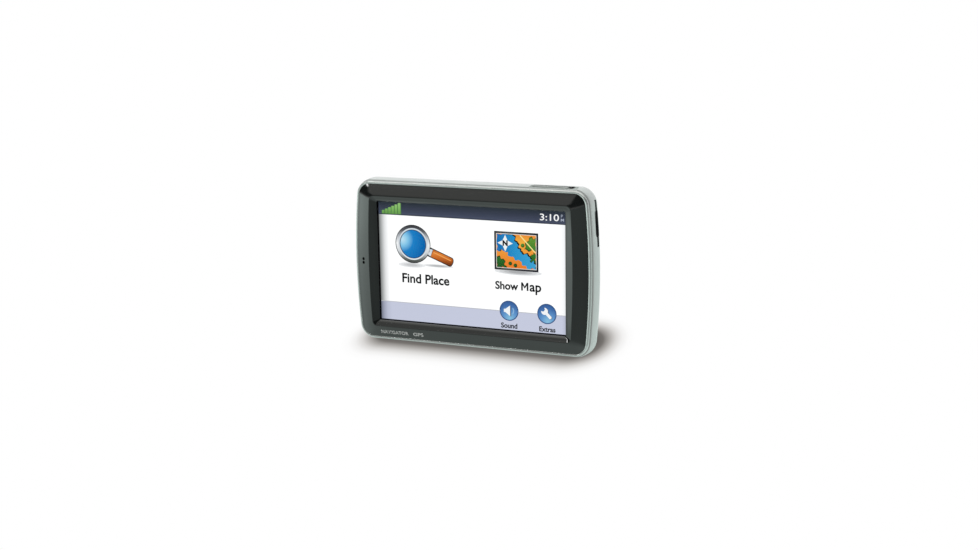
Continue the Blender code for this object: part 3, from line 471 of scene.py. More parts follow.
# The seam bands get a darker colour than the paint: painted shade in the groove between the rim and the
# shell.
SEAM_SHADE_BANDS = 4  # bands of the outside, next to the rim, that show as a fine dull line

CASE_SCREWS = {
    "top_left": (-31.0, 35.0),
    "top_right": (31.0, 35.0),
    "bottom_left": (-60.0, -35.0),
    "bottom_right": (60.0, -35.0),
}
# Profiles of (radius, y).
SCREW_WELL = (
    (0, -2.0), (1.2, -2.0), (1.2, 2.0), (2.5, 2.0), (2.5, 13.0), (2.8, 13.3), (3.2, 14.5), (0, 14.5),
)
SCREW_PROFILE = (
    (0, -3.9), (0.8, -3.9), (0.95, -3.6), (0.95, 2.1), (2.0, 2.1), (2.1, 2.2), (2.1, 3.1),
    (1.9, 3.5), (1.3, 3.75), (0, 3.8),
)
SPEAKER_WELL = (
    (0, 8.0), (15.4, 8.0), (15.4, 12.25), (17.3, 12.25), (17.3, 13.2), (17.7, 13.6), (17.7, 14.5),
    (0, 14.5),
)
# Cutters start inside the shell and end outside it, on the right, the left or the back.
THROUGH_RIGHT, THROUGH_LEFT, THROUGH_BACK = (60.0, 80.0), (-80.0, -62.0), (8.0, 15.0)


def shell_rows(rows, steps):
    return [
        section(half_w, top, bottom, radius, SIDE_BOW, y)
        for half_w, top, bottom, radius, y in smooth_rows(rows, steps)
    ]


def slider_scoop():
    """Cutter for the shallow hollow in front of the power slider and round it."""
    middle, half_length, end, back, front = 48.7, 14.1, 3.2, -2.95, -12.0
    right = circle(half_length - end, back - end, end, 12, 90, -90) + [(half_length, front)]
    plan = right + [(-x, y) for x, y in right[::-1]]
    floor = box_mm("power_slider")[1].z - 0.5
    walls = ((0.93, 0.0), (0.965, 0.08), (0.99, 0.3), (1.0, 0.6), (1.03, 2.0))
    return loft([[(middle + x * wide, y, floor + rise) for x, y in plan] for wide, rise in walls])


def shell_openings():
    """Cutters for every opening in the shell but the slider's hollow."""
    _, card_y, card_z = centre_mm("memory_card")
    speaker_x, _, speaker_z = centre_mm("speaker_grille")
    cap_x, _, cap_z = centre_mm("antenna_cap")
    usb_z = centre_mm("usb_connector")[2]
    jack_z = centre_mm("headphone_jack")[2]
    wells = [turned(SCREW_WELL, (x, 0, z), ALONG_Y, 40) for x, z in CASE_SCREWS.values()]
    card_slot = rounded_bar(THROUGH_RIGHT, span(card_y, 1.3), span(card_z, 12.8), 0.5)
    finger_notch = rounded_bar(THROUGH_RIGHT, span(card_y, 2.5), span(card_z, 7.25), 1.6)
    slider_slot = block((35.8, 59.3), (-6.3, -2.9), (42.5, 50.0))
    speaker_well = turned(SPEAKER_WELL, (speaker_x, 0, speaker_z), ALONG_Y, 96)
    cradle_window = block((-17.0, 17.0), THROUGH_BACK, (-36.0, -25.0))
    cap_seat = block(span(cap_x, 6.5), (12.0, 15.0), (cap_z - 5.0, cap_z + 5.05))
    antenna_hole = disc(3.1, *THROUGH_BACK, (cap_x, 0, cap_z), steps=40)
    usb_window = rounded_bar(THROUGH_LEFT, (0.15, 4.75), span(usb_z, 4.2), 0.7)
    jack_hole = disc(2.3, *THROUGH_LEFT, (0, 3.35, jack_z), ALONG_X, 40)
    return [
        *wells, card_slot, finger_notch, slider_slot, speaker_well, cradle_window, cap_seat,
        antenna_hole, usb_window, jack_hole,
    ]


def rear_housing(finish, dark, seam, recess):
    """Painted shell, with bare dark plastic inside it and in its openings."""
    outside = shell_rows(SHELL_OUTER[::-1], OUTER_STEPS)
    mesh = loft(outside + shell_rows(SHELL_INNER[::-1], INNER_STEPS))
    mesh.faces.ensure_lookup_table()
    around = len(outside[0])
    painted = (len(outside) - 1 - SEAM_SHADE_BANDS) * around
    # The first outside bands next to the rim take the seam colour, painted shade in the groove; the inside
    # is bare dark plastic.
    for face in mesh.faces[painted:]:
        face.material_index = 2 if face.index < painted + SEAM_SHADE_BANDS * around else 1
    shell = make("rear_housing_shell", mesh, finish, inner=(dark, seam))
    screw_posts = [disc(3.4, 0.35, 12.3, (x, 0, z), steps=32) for x, z in CASE_SCREWS.values()]
    spring_stop = block((65.6, 67.0), (-6.4, -3.2), (42.0, 44.3))
    carve(shell, [*screw_posts, spring_stop], "UNION", cut_finish=dark)
    openings = shell_openings()
    # The hollow's faces take the recess colour, which is painted shade in the hollow.
    carve(shell, [slider_scoop()], cut_finish=recess)
    carve(shell, openings, cut_finish=dark)
    bevel(shell, 0.12)
    register(shell, stands_for="rear_housing")


# The bezel's band rises from its edge to its ridge: half width, half height, radius, bow and y.
BAND_EDGE = (70.1, 44.05, 6.2, SIDE_BOW, -11.05)
BAND_RIDGE = (61.95, 37.6, 2.8, RIDGE_BOW, -13.5)
BAND_CROWN, BAND_STEPS = 0.3, 12


def front_bezel(finish):
    """Gloss frame: a crowned band, a rounded ridge, and a lip that slopes down to the display."""
    rows = [(70.18, 44.13, 6.25, SIDE_BOW, -10.9), (70.14, 44.09, 6.22, SIDE_BOW, -11.03)]
    for step in range(1, BAND_STEPS):
        share = 0.96 * step / (BAND_STEPS - 1)
        half_w, half_h, radius, bow, y = (a + (b - a) * share for a, b in zip(BAND_EDGE, BAND_RIDGE))
        rows.append((half_w, half_h, radius, bow, y - BAND_CROWN * 4 * share * (1 - share)))
    rows += [
        BAND_RIDGE,
        (61.73, 37.44, 2.65, RIDGE_BOW, -13.47),
        (61.53, 37.3, 2.5, RIDGE_BOW, -13.38),
        (59.3, 35.9, 1.5, 0.0, -12.45),
        (57.44, 34.63, 0.8, 0.0, -11.73),
        (57.1, 34.4, 0.6, 0.0, -11.46),
        (57.1, 34.4, 0.6, 0.0, -11.2),
        (60.5, 37.3, 1.2, 0.0, -11.2),
        (60.5, 37.3, 1.2, 0.0, -9.75),
        (70.18, 44.13, 6.25, SIDE_BOW, -9.75),
    ]
    loops = [section(half_w, half_h, half_h, radius, bow, y) for half_w, half_h, radius, bow, y in rows]
    bezel = make("front_bezel_gloss", loft(loops, ring=True), finish, 30)
    mic_x, _, mic_z = centre_mm("microphone")
    holes = [disc(0.88, -15.0, -8.0, (mic_x, 0, mic_z + side * 1.06), steps=32) for side in (1, -1)]
    carve(bezel, holes, angle=30)
    register(bezel, stands_for="front_bezel")


def trim_ring(finish):
    """Bright rim: a rounded face, and a step at its back that holds four screw lugs."""
    face = (
        (70.22, 44.17, 6.28, -10.95),
        (70.25, 44.2, 6.31, -11.0),
        (70.36, 44.31, 6.42, -11.04),
        (70.65, 44.6, 6.7, -11.1),
        (70.98, 44.93, 7.02, -11.12),
        (71.3, 45.22, 7.35, -11.02),
        (71.55, 45.46, 7.6, -10.7),
        (71.7, 45.6, 7.75, -10.25),
        (71.78, 45.72, 7.85, -9.8),
        (71.72, 45.68, 7.8, -9.5),
        (71.5, 45.5, 7.55, -9.3),
    )
    step = [
        (69.55, 43.6, 6.0, -9.35),
        (69.55, 43.6, 6.0, -8.3),
        (68.2, 42.3, 4.8, -8.3),
        (68.2, 42.3, 4.8, -9.45),
        (70.22, 44.17, 6.28, -9.45),
    ]
    loops = [
        section(half_w, half_h, half_h, radius, SIDE_BOW, y)
        for half_w, half_h, radius, y in smooth_rows(face, 2) + step
    ]
    ring = make("trim_ring_rim", loft(loops, ring=True), finish)
    screws = ((-22.0, 41.2), (22.0, 41.2), (-48.0, -41.2), (48.0, -41.2))
    lugs = []
    for x, z in screws:
        reach = sorted((math.copysign(39.4, z), math.copysign(43.1, z)))
        lugs.append(block(span(x, 3.2), (-9.2, -5.05), reach))
    carve(ring, lugs, "UNION")
    carve(ring, [disc(1.05, -8.4, 0.0, (x, 0, z), steps=24) for x, z in screws])
    register(ring, stands_for="trim_ring")


def speaker_grille(finish):
    """Round insert with rings of small round holes."""
    x, _, z = centre_mm("speaker_grille")
    base = box_mm("speaker_grille")[0].y
    dome = ((0, base), (16.9, base), (17.0, base + 0.1), (17.0, 13.2), (16.8, 13.4), (13.0, 13.4), (0, 13.4))
    grille = make("speaker_grille_disc", turned(dome, (x, 0, z), ALONG_Y, 96), finish)
    hole_radius, ring_step = 0.72, 2.55
    spots = [(x, 0, z)]
    for ring in range(1, 6):
        count = 6 * ring
        for i in range(count):
            turn = 2 * math.pi * (i + 0.5 * (ring % 2)) / count
            spots.append((x + ring_step * ring * math.cos(turn), 0, z + ring_step * ring * math.sin(turn)))
    merged = bmesh.new()
    for spot in spots:
        hole = disc(hole_radius, 11.0, 15.0, spot, steps=16)
        part = bpy.data.meshes.new("hole")
        hole.to_mesh(part)
        hole.free()
        merged.from_mesh(part)
        bpy.data.meshes.remove(part)
    carve(grille, [merged])
    register(grille, stands_for="speaker_grille")


def cradle_socket(finish):
    """Insert with a latch slot and four openings for the dock contacts."""
    low, high = box_mm("cradle_socket")
    plate = block((-16.7, 16.7), (10.9, high.y), (-35.7, -25.3))
    socket = make("cradle_socket_insert", plate, finish)
    carve(socket, [block((low.x, high.x), (low.y, 11.05), (low.z, high.z))], "UNION")
    cuts = [rounded_bar((-12.0, 12.0), (12.0, 15.0), (-33.9, -31.2), 1.0, "y")]
    for i in range(4):
        cuts.append(block(span((i - 1.5) * 4.0, 1.1), THROUGH_BACK, (-29.5, -26.6)))
    carve(socket, cuts)
    bevel(socket, 0.2)
    register(socket, stands_for="cradle_socket")


def antenna_cap(finish):
    """Rubber flap with a plug inside and a finger notch at its lower edge."""
    low, high = box_mm("antenna_cap")
    x, _, z = centre_mm("antenna_cap")
    plate = rounded_bar((low.x, high.x), (12.15, high.y), (low.z, high.z), 1.2, "y")
    cap = make("antenna_cap_flap", plate, finish)
    carve(cap, [disc(2.5, low.y, 12.45, (x, 0, z), steps=40)], "UNION")
    carve(cap, [rounded_bar(span(x, 2.2), (13.05, 15.0), (z - 7.0, z - 3.7), 0.9, "y")])
    bevel(cap, 0.18)
    register(cap, body="antenna_cap", stands_for="antenna_cap")


def case_screws(finish):
    """Pan-head screws with a cross recess, deep in the wells of the back."""
    depth, long, short = (2.9, 5.0), 1.3, 0.28
    for place, (x, z) in CASE_SCREWS.items():
        node = f"case_screw_{place}"
        screw = make(f"{node}_head", turned(SCREW_PROFILE, (x, 0, z), ALONG_Y, 40), finish)
        arms = ((long, short), (short, long))
        carve(screw, [block(span(x, wide), depth, span(z, tall)) for wide, tall in arms])
        register(screw, stands_for=node)


def power_slider(finish):
    """Key with grip ridges, on a flange with a spring finger and a fork for the switch knob."""
    high = box_mm("power_slider")[1]
    key = make("power_slider_key", block((36.1, 56.4), (-6.0, -3.2), (43.6, high.z)), finish)
    flange = block((33.0, 60.2), (-7.1, -1.9), (43.25, 43.95))
    spring_finger = block((58.6, 60.2), (-5.8, -3.8), (42.4, 43.8))
    bridge = block((43.4, 50.1), (-2.2, 2.3), (43.3, 43.9))
    prongs = [block(x, (0.7, 2.1), (41.95, 43.6)) for x in ((44.2, 45.45), (48.05, 49.3))]
    carve(key, [flange, spring_finger, bridge, *prongs], "UNION")
    middle, pitch = 46.25, 1.5
    spots = [(middle + i * pitch, 0, high.z + 0.12) for i in (-2, -1, 0, 1, 2)]
    carve(key, [disc(0.35, -7.0, -2.0, spot, steps=20) for spot in spots])
    bevel(key, 0.15)
    register(key, body="power_slider", stands_for="power_slider")


def memory_card(finish, contact, label):
    """Card with a label recess on its front, and contacts near its inner end on the other face."""
    low, high = box_mm("memory_card")
    chamfer = 4.2
    plan = (
        (low.x, low.z), (high.x, low.z), (high.x, high.z),
        (low.x + chamfer, high.z), (low.x, high.z - chamfer),
    )
    card = make("memory_card_shell", prism(plan, (low.y, high.y)), finish)
    label_span = (low.x + 8.0, high.x - 2.0)
    label_recess = block(label_span, (low.y - 1.0, low.y + 0.12), (low.z + 2.0, high.z - 2.0))
    grip = block((high.x - 0.9, high.x - 0.5), (low.y - 1.0, low.y + 0.25), (low.z + 5.0, high.z - 5.0))
    rows = [low.z + 3.0 + i * 2.5 for i in range(8)]
    beds = [block((low.x + 0.8, low.x + 5.6), (high.y - 0.2, high.y + 1.0), span(z, 0.85)) for z in rows]
    carve(card, [label_recess, grip, *beds])
    bevel(card, 0.15)
    register(card, body="memory_card", stands_for="memory_card")
    sticker = block((low.x + 8.4, high.x - 2.4), (low.y + 0.02, low.y + 0.1), (low.z + 2.4, high.z - 2.4))
    piece("memory_card_label", sticker, label, "memory_card")
    for i, z in enumerate(rows):
        pad = block((low.x + 1.0, low.x + 5.4), (high.y - 0.18, high.y - 0.1), span(z, 0.7))
        piece(f"memory_card_contact_{i + 1}", pad, contact, "memory_card")


def spring(finish):
    """Slider spring, as a coil fixed to the body; the real one is squeezed as the slider moves."""
    low, high = box_mm("slider_spring")
    _, y, z = centre_mm("slider_spring")
    turns, steps, sides, radius, wire = 6, 24, 8, 0.62, 0.13
    start, length = low.x + wire + 0.02, high.x - low.x - 2 * wire - 0.04
    loops = []
    for step in range(turns * steps + 1):
        turn = 2 * math.pi * step / steps
        out = Vector((0, math.cos(turn), math.sin(turn)))
        x = start + length * step / (turns * steps)
        centre = Vector((x, y + radius * math.cos(turn), z + radius * math.sin(turn)))
        loop = []
        for i in range(sides):
            angle = 2 * math.pi * i / sides
            offset = out * math.cos(angle) + Vector((1, 0, 0)) * math.sin(angle)
            loop.append(centre + offset * wire)
        loops.append(loop)
    coil = piece("slider_spring_coil", loft(loops), finish, stands_for="slider_spring")
    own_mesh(coil)


# ---------------------------------------------------------------- display artwork

# The pictures are thin layers, one in front of the other, between the display and the touch panel.
FIRST_GAP, LAYER_STEP, LAYER_DEPTH = 0.006, 0.011, 0.008

WHITE = (255, 255, 255)


def art(name, points, level, finish):
    """A flat picture on one layer of the display."""
    back = SCREEN_Y - FIRST_GAP - level * LAYER_STEP
    return piece(name, prism(points, (back - LAYER_DEPTH, back)), finish)


def text_mesh(words, x, z, width=None, height=None, bold=0.0):
    """A word as a flat mesh, its left end at x and its baseline at z, scaled to a width or a height."""
    curve = bpy.data.curves.new("words", "FONT")
    curve.body = words
    curve.offset = bold
    curve.extrude = 0.001
    curve.resolution_u = 6
    obj = bpy.data.objects.new("words", curve)
    bpy.context.scene.collection.objects.link(obj)
    bpy.context.view_layer.update()
    graph = bpy.context.evaluated_depsgraph_get()
    flat = bpy.data.meshes.new_from_object(obj.evaluated_get(graph))
    bpy.data.objects.remove(obj, do_unlink=True)
    mesh = bmesh.new()
    mesh.from_mesh(flat)
    bpy.data.meshes.remove(flat)
    bmesh.ops.remove_doubles(mesh, verts=mesh.verts[:], dist=0.00005)
    xs = [vert.co.x for vert in mesh.verts]
    ys = [vert.co.y for vert in mesh.verts]
    wide, tall = max(xs) - min(xs), max(ys) - min(ys)
    scale_x = width / wide if width else height / tall
    scale_y = height / tall if height else scale_x
    base = min(ys) if height else 0.0
    for vert in mesh.verts:
        px, py, depth = vert.co
        vert.co = ((px - min(xs)) * scale_x + x, depth, (py - base) * scale_y + z)
    return mesh


def write(name, words, x, z, level, finish, **sizes):
    """A word on one layer of the display."""
    mesh = text_mesh(words, x, z, **sizes)
    back = SCREEN_Y - FIRST_GAP - level * LAYER_STEP
    for vert in mesh.verts:
        vert.co.y = back if vert.co.y > 0 else back - LAYER_DEPTH
    return piece(name, mesh, finish)


def capital_m(x, z, width, height, stroke):
    """Outline of a plain capital M with its lower left corner at x, z."""
    middle = width / 2
    dip = height * 0.3
    points = (
        (0, 0), (stroke, 0), (stroke, height - stroke * 1.7), (middle, dip - stroke * 0.3),
        (width - stroke, height - stroke * 1.7), (width - stroke, 0), (width, 0), (width, height),
        (width - stroke * 0.95, height), (middle, dip + stroke * 1.1), (stroke * 0.95, height), (0, height),
    )
    return [(x + px, z + pz) for px, pz in points]


def rectangle(x, z):
    """Corners of a rectangle from its ranges."""
    return ((x[0], z[0]), (x[1], z[0]), (x[1], z[1]), (x[0], z[1]))


def screen_frame_pictures():
    """White page, status bar and lower bar; the page and the lower bar carry painted shade from the bezel,
    darker towards the left edge and a little towards the right.
    """
    high, status_low, lower_high = SCREEN_HALF_H, 26.7, -23.5
    wide = (-SCREEN_HALF_W - 0.2, SCREEN_HALF_W)
    # Painted shade: the page darkens towards its left edge and slightly at its right edge.
    page = lit("screen_page_light", (
        (0.0, 116, 118, 118), (0.012, 168, 170, 170), (0.03, 222, 223, 224), (0.05, 250, 250, 251),
        (0.075, *WHITE), (0.965, *WHITE), (0.99, 242, 243, 244), (1.0, 222, 224, 225),
    ), "x", *wide, level=1.12)
    status = lit("status_bar_light", (
        (0.0, 50, 56, 70), (0.06, 52, 58, 74), (0.09, 70, 77, 98), (0.5, 56, 62, 80), (1.0, 38, 46, 54),
    ), "z", status_low, high)
    # Painted shade: the lower bar darkens towards its left edge and slightly at its right end.
    lower = lit("lower_bar_light", (
        (0.0, 112, 116, 132), (0.015, 160, 164, 184), (0.035, 190, 194, 214), (0.06, 202, 206, 226),
        (0.98, 204, 208, 228), (1.0, 184, 188, 206),
    ), "x", *wide)
    line = plain_lit("lower_bar_line_light", 190, 191, 198)
    art("screen_page", rectangle(wide, (-high, high)), 0, page)
    art("screen_status_bar", rectangle(wide, (status_low, high)), 1, status)
    art("screen_lower_bar", rectangle(wide, (-high, lower_high)), 1, lower)
    art("screen_lower_bar_line", rectangle(wide, (lower_high - 0.25, lower_high + 0.15)), 2, line)


def screen_status():
    """Signal bars and a clock."""
    low, first_top, last_top, left, right, count = 27.2, 29.2, 33.6, -54.8, -42.5, 6
    green = lit(
        "signal_light", ((0.0, 96, 150, 70), (0.5, 128, 186, 98), (1.0, 150, 200, 118)),
        "z", low, last_top,
    )
    dim = plain_lit("signal_gap_light", 78, 118, 74)
    pitch = (right - left) / count
    for i in range(count):
        x = left + i * pitch
        top = first_top + (last_top - first_top) * i / (count - 1)
        art(f"signal_gap_{i + 1}", rectangle((x, x + pitch), (low, top)), 2, dim)
        art(f"signal_bar_{i + 1}", rectangle((x, x + pitch * 0.78), (low, top)), 3, green)
    white = plain_lit("clock_light", *WHITE)
    pale = plain_lit("clock_half_day_light", 176, 184, 200)
    write("clock_digits", "3:10", 41.65, 28.5, 2, white, width=11.1, height=3.7, bold=0.008)
    write("clock_half_day_upper", "P", 53.9, 30.6, 2, pale, height=1.6, bold=0.01)
    art("clock_half_day_lower", capital_m(53.8, 28.5, 1.8, 1.5, 0.42), 2, pale)


def rotated(points, x, z, degrees):
    """Points turned about the origin and then moved to x, z."""
    turn = math.radians(degrees)
    c, s = math.cos(turn), math.sin(turn)
    return [(x + px * c - pz * s, z + px * s + pz * c) for px, pz in points]


def capsule(length, half):
    """A bar from the origin along +x with a rounded far end."""
    bulge, steps = half * 0.6, 10
    end = circle(0, 0, 1, steps, -90, 180)
    return [(0.0, -half), *((length - bulge + bulge * px, half * pz) for px, pz in end), (0.0, half)]


def soft_spot(name, x, z, half_w, half_h, value):
    """A faint blur on the page, as nested ovals that darken to the middle."""
    for i, share in enumerate((1.0, 0.8, 0.6, 0.4)):
        shade = 255 - (255 - value) * (i + 1) / 4
        finish = plain_lit(f"{name}_light_{i + 1}", shade - 1, shade, min(shade + 2, 255))
        oval = [(x + half_w * share * px, z + half_h * share * pz) for px, pz in circle(0, 0, 1, 40)]
        art(f"{name}_{i + 1}", oval, 1 + i, finish)


def search_icon():
    """Magnifying glass: polished ring, blue lens, amber handle, and a soft shade under it."""
    x, z, slope = -35.6, 10.7, -20.8
    soft_spot("search_shade_ring", x - 1.0, z - 12.1, 8.5, 1.5, 205)
    soft_spot("search_shade_handle", x + 15.5, z - 11.6, 9.5, 0.9, 188)
    dark = plain_lit("icon_outline_light", 28, 28, 32)
    handle = lit("handle_light", (
        (0.0, 120, 58, 20), (0.3, 196, 100, 34), (0.6, 228, 132, 54), (1.0, 158, 80, 28),
    ), "z", 0.5, 9.5)
    metal = lit("ring_light", (
        (0.0, 46, 52, 46), (0.12, 110, 114, 112), (0.3, 214, 218, 222), (0.5, 246, 248, 250),
        (0.66, 196, 200, 206), (0.84, 92, 94, 100), (1.0, 44, 44, 48),
    ), "z", *span(z, 11))
    inner = lit(
        "ring_inner_light", ((0.0, 238, 242, 246), (0.5, 206, 214, 222), (1.0, 226, 234, 240)),
        "z", *span(z, 9.6),
    )
    lens = lit("lens_light", (
        (0.0, 198, 232, 248), (0.25, 134, 202, 238), (0.5, 24, 130, 202), (1.0, 4, 102, 176),
    ), (x - 6.6, z + 2.4), 0.0, 14.0)
    for part, start, length, half, level, finish in (
        ("outline", 10.2, 16.5, 2.75, 5, dark),
        ("", 12.7, 13.5, 2.25, 6, handle),
    ):
        spot = rotated([(start, 0)], x, z, slope)[0]
        name = "search_handle_outline" if part else "search_handle"
        art(name, rotated(capsule(length, half), *spot, slope), level, finish)
    ferrule = ((10.4, -1.7), (12.5, -2.1), (12.5, 2.1), (10.4, 1.7))
    art("search_ferrule", rotated(ferrule, x, z, slope), 6, inner)
    stripe = ((13.4, 0.5), (24.6, 0.5), (25.2, 0.8), (24.6, 1.1), (13.4, 1.1))
    art("search_handle_shine", rotated(stripe, x, z, slope), 7, plain_lit("shine_light", 246, 166, 88))
    rings = (
        ("ring_outline", 11.0, dark), ("ring", 10.6, metal), ("ring_inner", 9.1, inner),
        ("ring_edge", 8.3, plain_lit("lens_edge_light", 40, 66, 100)), ("lens", 7.85, lens),
    )
    for level, (part, radius, finish) in enumerate(rings, 6):
        art(f"search_{part}", circle(x, z, radius, 72), level, finish)


MAP_X, MAP_Z, MAP_INSET = (14.7, 40.5), (-0.2, 21.0), 1.25


def on_map(points):
    """Points of a unit square moved to the map's own area, inside its border."""
    (left, right), (low, high) = MAP_X, MAP_Z
    width, height = right - left - 2 * MAP_INSET, high - low - 2 * MAP_INSET
    return [(left + MAP_INSET + x * width, low + MAP_INSET + z * height) for x, z in points]


def clipped(points):
    """Points kept inside the map's own area."""
    (low_x, low_z), (high_x, high_z) = on_map([(0, 0), (1, 1)])
    return [(min(max(x, low_x), high_x), min(max(z, low_z), high_z)) for x, z in points]


def wavy(points, wobble, phase):
    """A closed outline with soft bumps along each side, for coasts and woods."""
    made, count = [], 8
    for i, (start, end) in enumerate(zip(points, points[1:] + points[:1])):
        dx, dz = end[0] - start[0], end[1] - start[1]
        length = math.hypot(dx, dz)
        for step in range(count):
            t = step / count
            swing = math.sin(2 * math.pi * t * 1.5 + phase + i * 1.7) * math.sin(math.pi * t) * wobble
            made.append((start[0] + dx * t - dz / length * swing, start[1] + dz * t + dx / length * swing))
    return made


def grown(points, share):
    """The same outline, larger about its own middle."""
    mid_x = sum(x for x, _ in points) / len(points)
    mid_z = sum(z for _, z in points) / len(points)
    return [(mid_x + (x - mid_x) * share, mid_z + (z - mid_z) * share) for x, z in points]


def map_icon():
    """A small chart with a border: land, a winding water, woods, a road and a north mark."""
    soft_spot("map_shade", sum(MAP_X) / 2 + 1.0, MAP_Z[0] - 0.9, 14.0, 1.7, 178)
    edge = lit("map_outline_light", (
        (0.0, 34, 36, 42), (0.3, 84, 86, 86), (0.6, 52, 54, 58), (1.0, 24, 27, 36),
    ), "x", *MAP_X)
    border = plain_lit("map_frame_light", 238, 236, 228)
    for name, grow, level, finish in (("outline", 0.15, 5, edge), ("", -0.95, 6, border)):
        area = rectangle(*((low - grow, high + grow) for low, high in (MAP_X, MAP_Z)))
        art("map_border_outline" if name else "map_border", area, level, finish)
    land = lit("map_land_light", (
        (0.0, 238, 122, 40), (0.4, 244, 150, 52), (0.75, 248, 178, 66), (1.0, 236, 132, 44),
    ), "z", *MAP_Z)
    art("map_land", on_map(rectangle((0, 1), (0, 1))), 7, land)
    waters = ((0.0, 14, 104, 178), (0.5, 40, 150, 208), (1.0, 66, 168, 216))
    water = lit("map_water_light", waters, "x", *MAP_X)
    shore = plain_lit("map_shore_light", 22, 28, 26)
    river = [
        (0.0, 1.0), (0.0, 0.5), (0.2, 0.5), (0.34, 0.34), (0.6, 0.22), (0.78, 0.0), (1.0, 0.0),
        (1.0, 0.14), (0.84, 0.36), (0.6, 0.5), (0.52, 0.74), (0.4, 1.0),
    ]
    wide = [(x + (0.03 if z < 0.99 else 0.02), z + (0.03 if x > 0.01 else 0)) for x, z in river]
    art("map_shore", clipped(wavy(on_map(wide), 0.9, 0.4)), 8, shore)
    art("map_water", clipped(wavy(on_map(river), 0.9, 0.4)), 9, water)
    woods = lit("map_wood_light", ((0.0, 26, 78, 30), (0.5, 52, 124, 42), (1.0, 112, 160, 52)), "z", *MAP_Z)
    groves = (
        ((0.72, 0.6), (1.0, 0.56), (1.0, 0.9), (0.84, 0.92)),
        ((0.0, 0.0), (0.24, 0.0), (0.17, 0.24), (0.0, 0.32)),
        ((0.86, 0.24), (1.0, 0.22), (1.0, 0.46), (0.9, 0.44)),
    )
    for i, grove in enumerate(groves):
        shape = wavy(on_map(grove), 0.8, 1.0 + i)
        art(f"map_wood_edge_{i + 1}", clipped(grown(shape, 1.14)), 10, shore)
        art(f"map_wood_{i + 1}", clipped(shape), 11, woods)
    for i, (x, z) in enumerate(on_map([(0.34, 0.14), (0.47, 0.09), (0.66, 0.7)])):
        art(f"map_tree_edge_{i + 1}", circle(x + 0.15, z - 0.15, 1.1, 16), 10, shore)
        art(f"map_tree_{i + 1}", circle(x, z, 0.9, 16), 11, woods)
    (ax, az), (bx, bz), (x, z) = on_map([(0.6, 0.985), (0.985, 0.5), (0.22, 0.73)])
    length = math.hypot(bx - ax, bz - az)
    nx, nz = (az - bz) / length * 0.32, (bx - ax) / length * 0.32
    line = ((ax + nx, az + nz), (ax - nx, az - nz), (bx - nx, bz - nz), (bx + nx, bz + nz))
    art("map_road", line, 12, plain_lit("map_road_light", 253, 232, 150))
    star = [circle(x, z, 2.1 if i % 2 else 4.6, 8, 90)[i] for i in range(8)]
    art("map_north_star", star, 10, plain_lit("map_north_pale_light", 246, 250, 250))
    dark = plain_lit("map_north_light", 10, 12, 20)
    write("map_north_letter", "N", x - 1.55, z - 1.6, 11, dark, width=3.1, height=3.2, bold=0.06)


def round_buttons():
    """Two round buttons with a loudspeaker and a spanner."""
    white = plain_lit("symbol_light", 248, 250, 252)
    shade = plain_lit("symbol_shade_light", 44, 70, 104)
    rim = plain_lit("button_rim_light", 52, 84, 132)
    sound_x, spanner_x, z = 22.9, 45.4, -23.2
    for name, x in (("sound", sound_x), ("setup", spanner_x)):
        face = lit(f"{name}_button_light", (
            (0.0, 140, 196, 226), (0.4, 98, 152, 208), (0.75, 66, 110, 172), (1.0, 54, 92, 152),
        ), (x + 0.5, z - 4.2), 0.0, 9.6)
        art(f"{name}_button_rim", circle(x, z, 5.7, 64), 2, rim)
        art(f"{name}_button_face", circle(x, z, 5.15, 64), 3, face)
    horn = ((-3.1, -0.9), (-2.2, -0.9), (0.7, -3.0), (0.7, 3.0), (-2.2, 0.9), (-3.1, 0.9))
    art("sound_symbol_shade", [(sound_x + px + 0.55, z + pz - 0.25) for px, pz in horn], 4, shade)
    art("sound_symbol_horn", [(sound_x + px, z + pz) for px, pz in horn], 5, white)
    band = arc_band(sound_x + 0.3, z, 2.2, 2.75, -40, 80, 16)
    art("sound_symbol_wave", band, 5, plain_lit("wave_light", 150, 190, 226))
    jaw = circle(0, 0, 2.0, 20, 40, 280) + [(0.4, -0.75), (0.4, 0.75)]
    bar = ((1.0, -0.85), (5.0, -0.85), (5.6, 0.0), (5.0, 0.85), (1.0, 0.85))
    for part, shift, level, finish in (("shade", 0.35, 4, shade), ("symbol", 0.0, 6, white)):
        spot = spanner_x - 1.35 + shift, z + 1.35 - shift * 0.4
        art(f"setup_{part}_head", rotated(jaw, *spot, 135), level, finish)
        art(f"setup_{part}_handle", rotated(bar, *spot, -45), level + 1, finish)


def labels():
    """Plain generic words under the pictures. The capital M is drawn, the rest is in Blender's font."""
    ink = plain_lit("label_ink", 12, 13, 16)
    page_words = (
        ("find_place", "Find Place", -42.9, -11.6, 29.6, 0.027),
        ("show", "Show", 14.8, -11.2, 13.8, 0.03),
        ("map_rest", "ap", 35.3, -11.2, 6.9, 0.024),
    )
    button_words = (("sound", "Sound", 18.0, -33.0, 9.8, 0.03), ("extras", "Extras", 40.8, -33.2, 9.6, 0.03))
    for level, words in ((2, page_words), (3, button_words)):
        for name, text, x, z, width, bold in words:
            write(f"label_{name}", text, x, z, level, ink, width=width, bold=bold)
    art("label_map_first", capital_m(30.3, -11.2, 4.3, 4.6, 1.0), 2, ink)


def bezel_mark(finish):
    """Plain generic words printed at the lower left of the bezel's band, just proud of its crown."""
    edge_y, edge_z, ridge_z = -11.0, BAND_EDGE[1], BAND_RIDGE[1]
    slope = (edge_y - BAND_RIDGE[-1]) / (edge_z - ridge_z)
    marks = (("front_mark_words", "NAVIGATOR", -55.8, 17.4), ("front_mark_unit", "GPS", -35.3, 6.4))
    for name, words, x, width in marks:
        mesh = text_mesh(words, x, -42.05, width=width, height=2.15, bold=0.016)
        for vert in mesh.verts:
            inward = edge_z + vert.co.z
            share = inward / (edge_z - ridge_z)
            rise = slope * inward + BAND_CROWN * 4 * share * (1 - share)
            lift = 0.05 if vert.co.y > 0 else -0.03
            vert.co.y = edge_y - rise - lift
        piece(name, mesh, finish)


# ---------------------------------------------------------------- finishes of the CAD nodes that stay


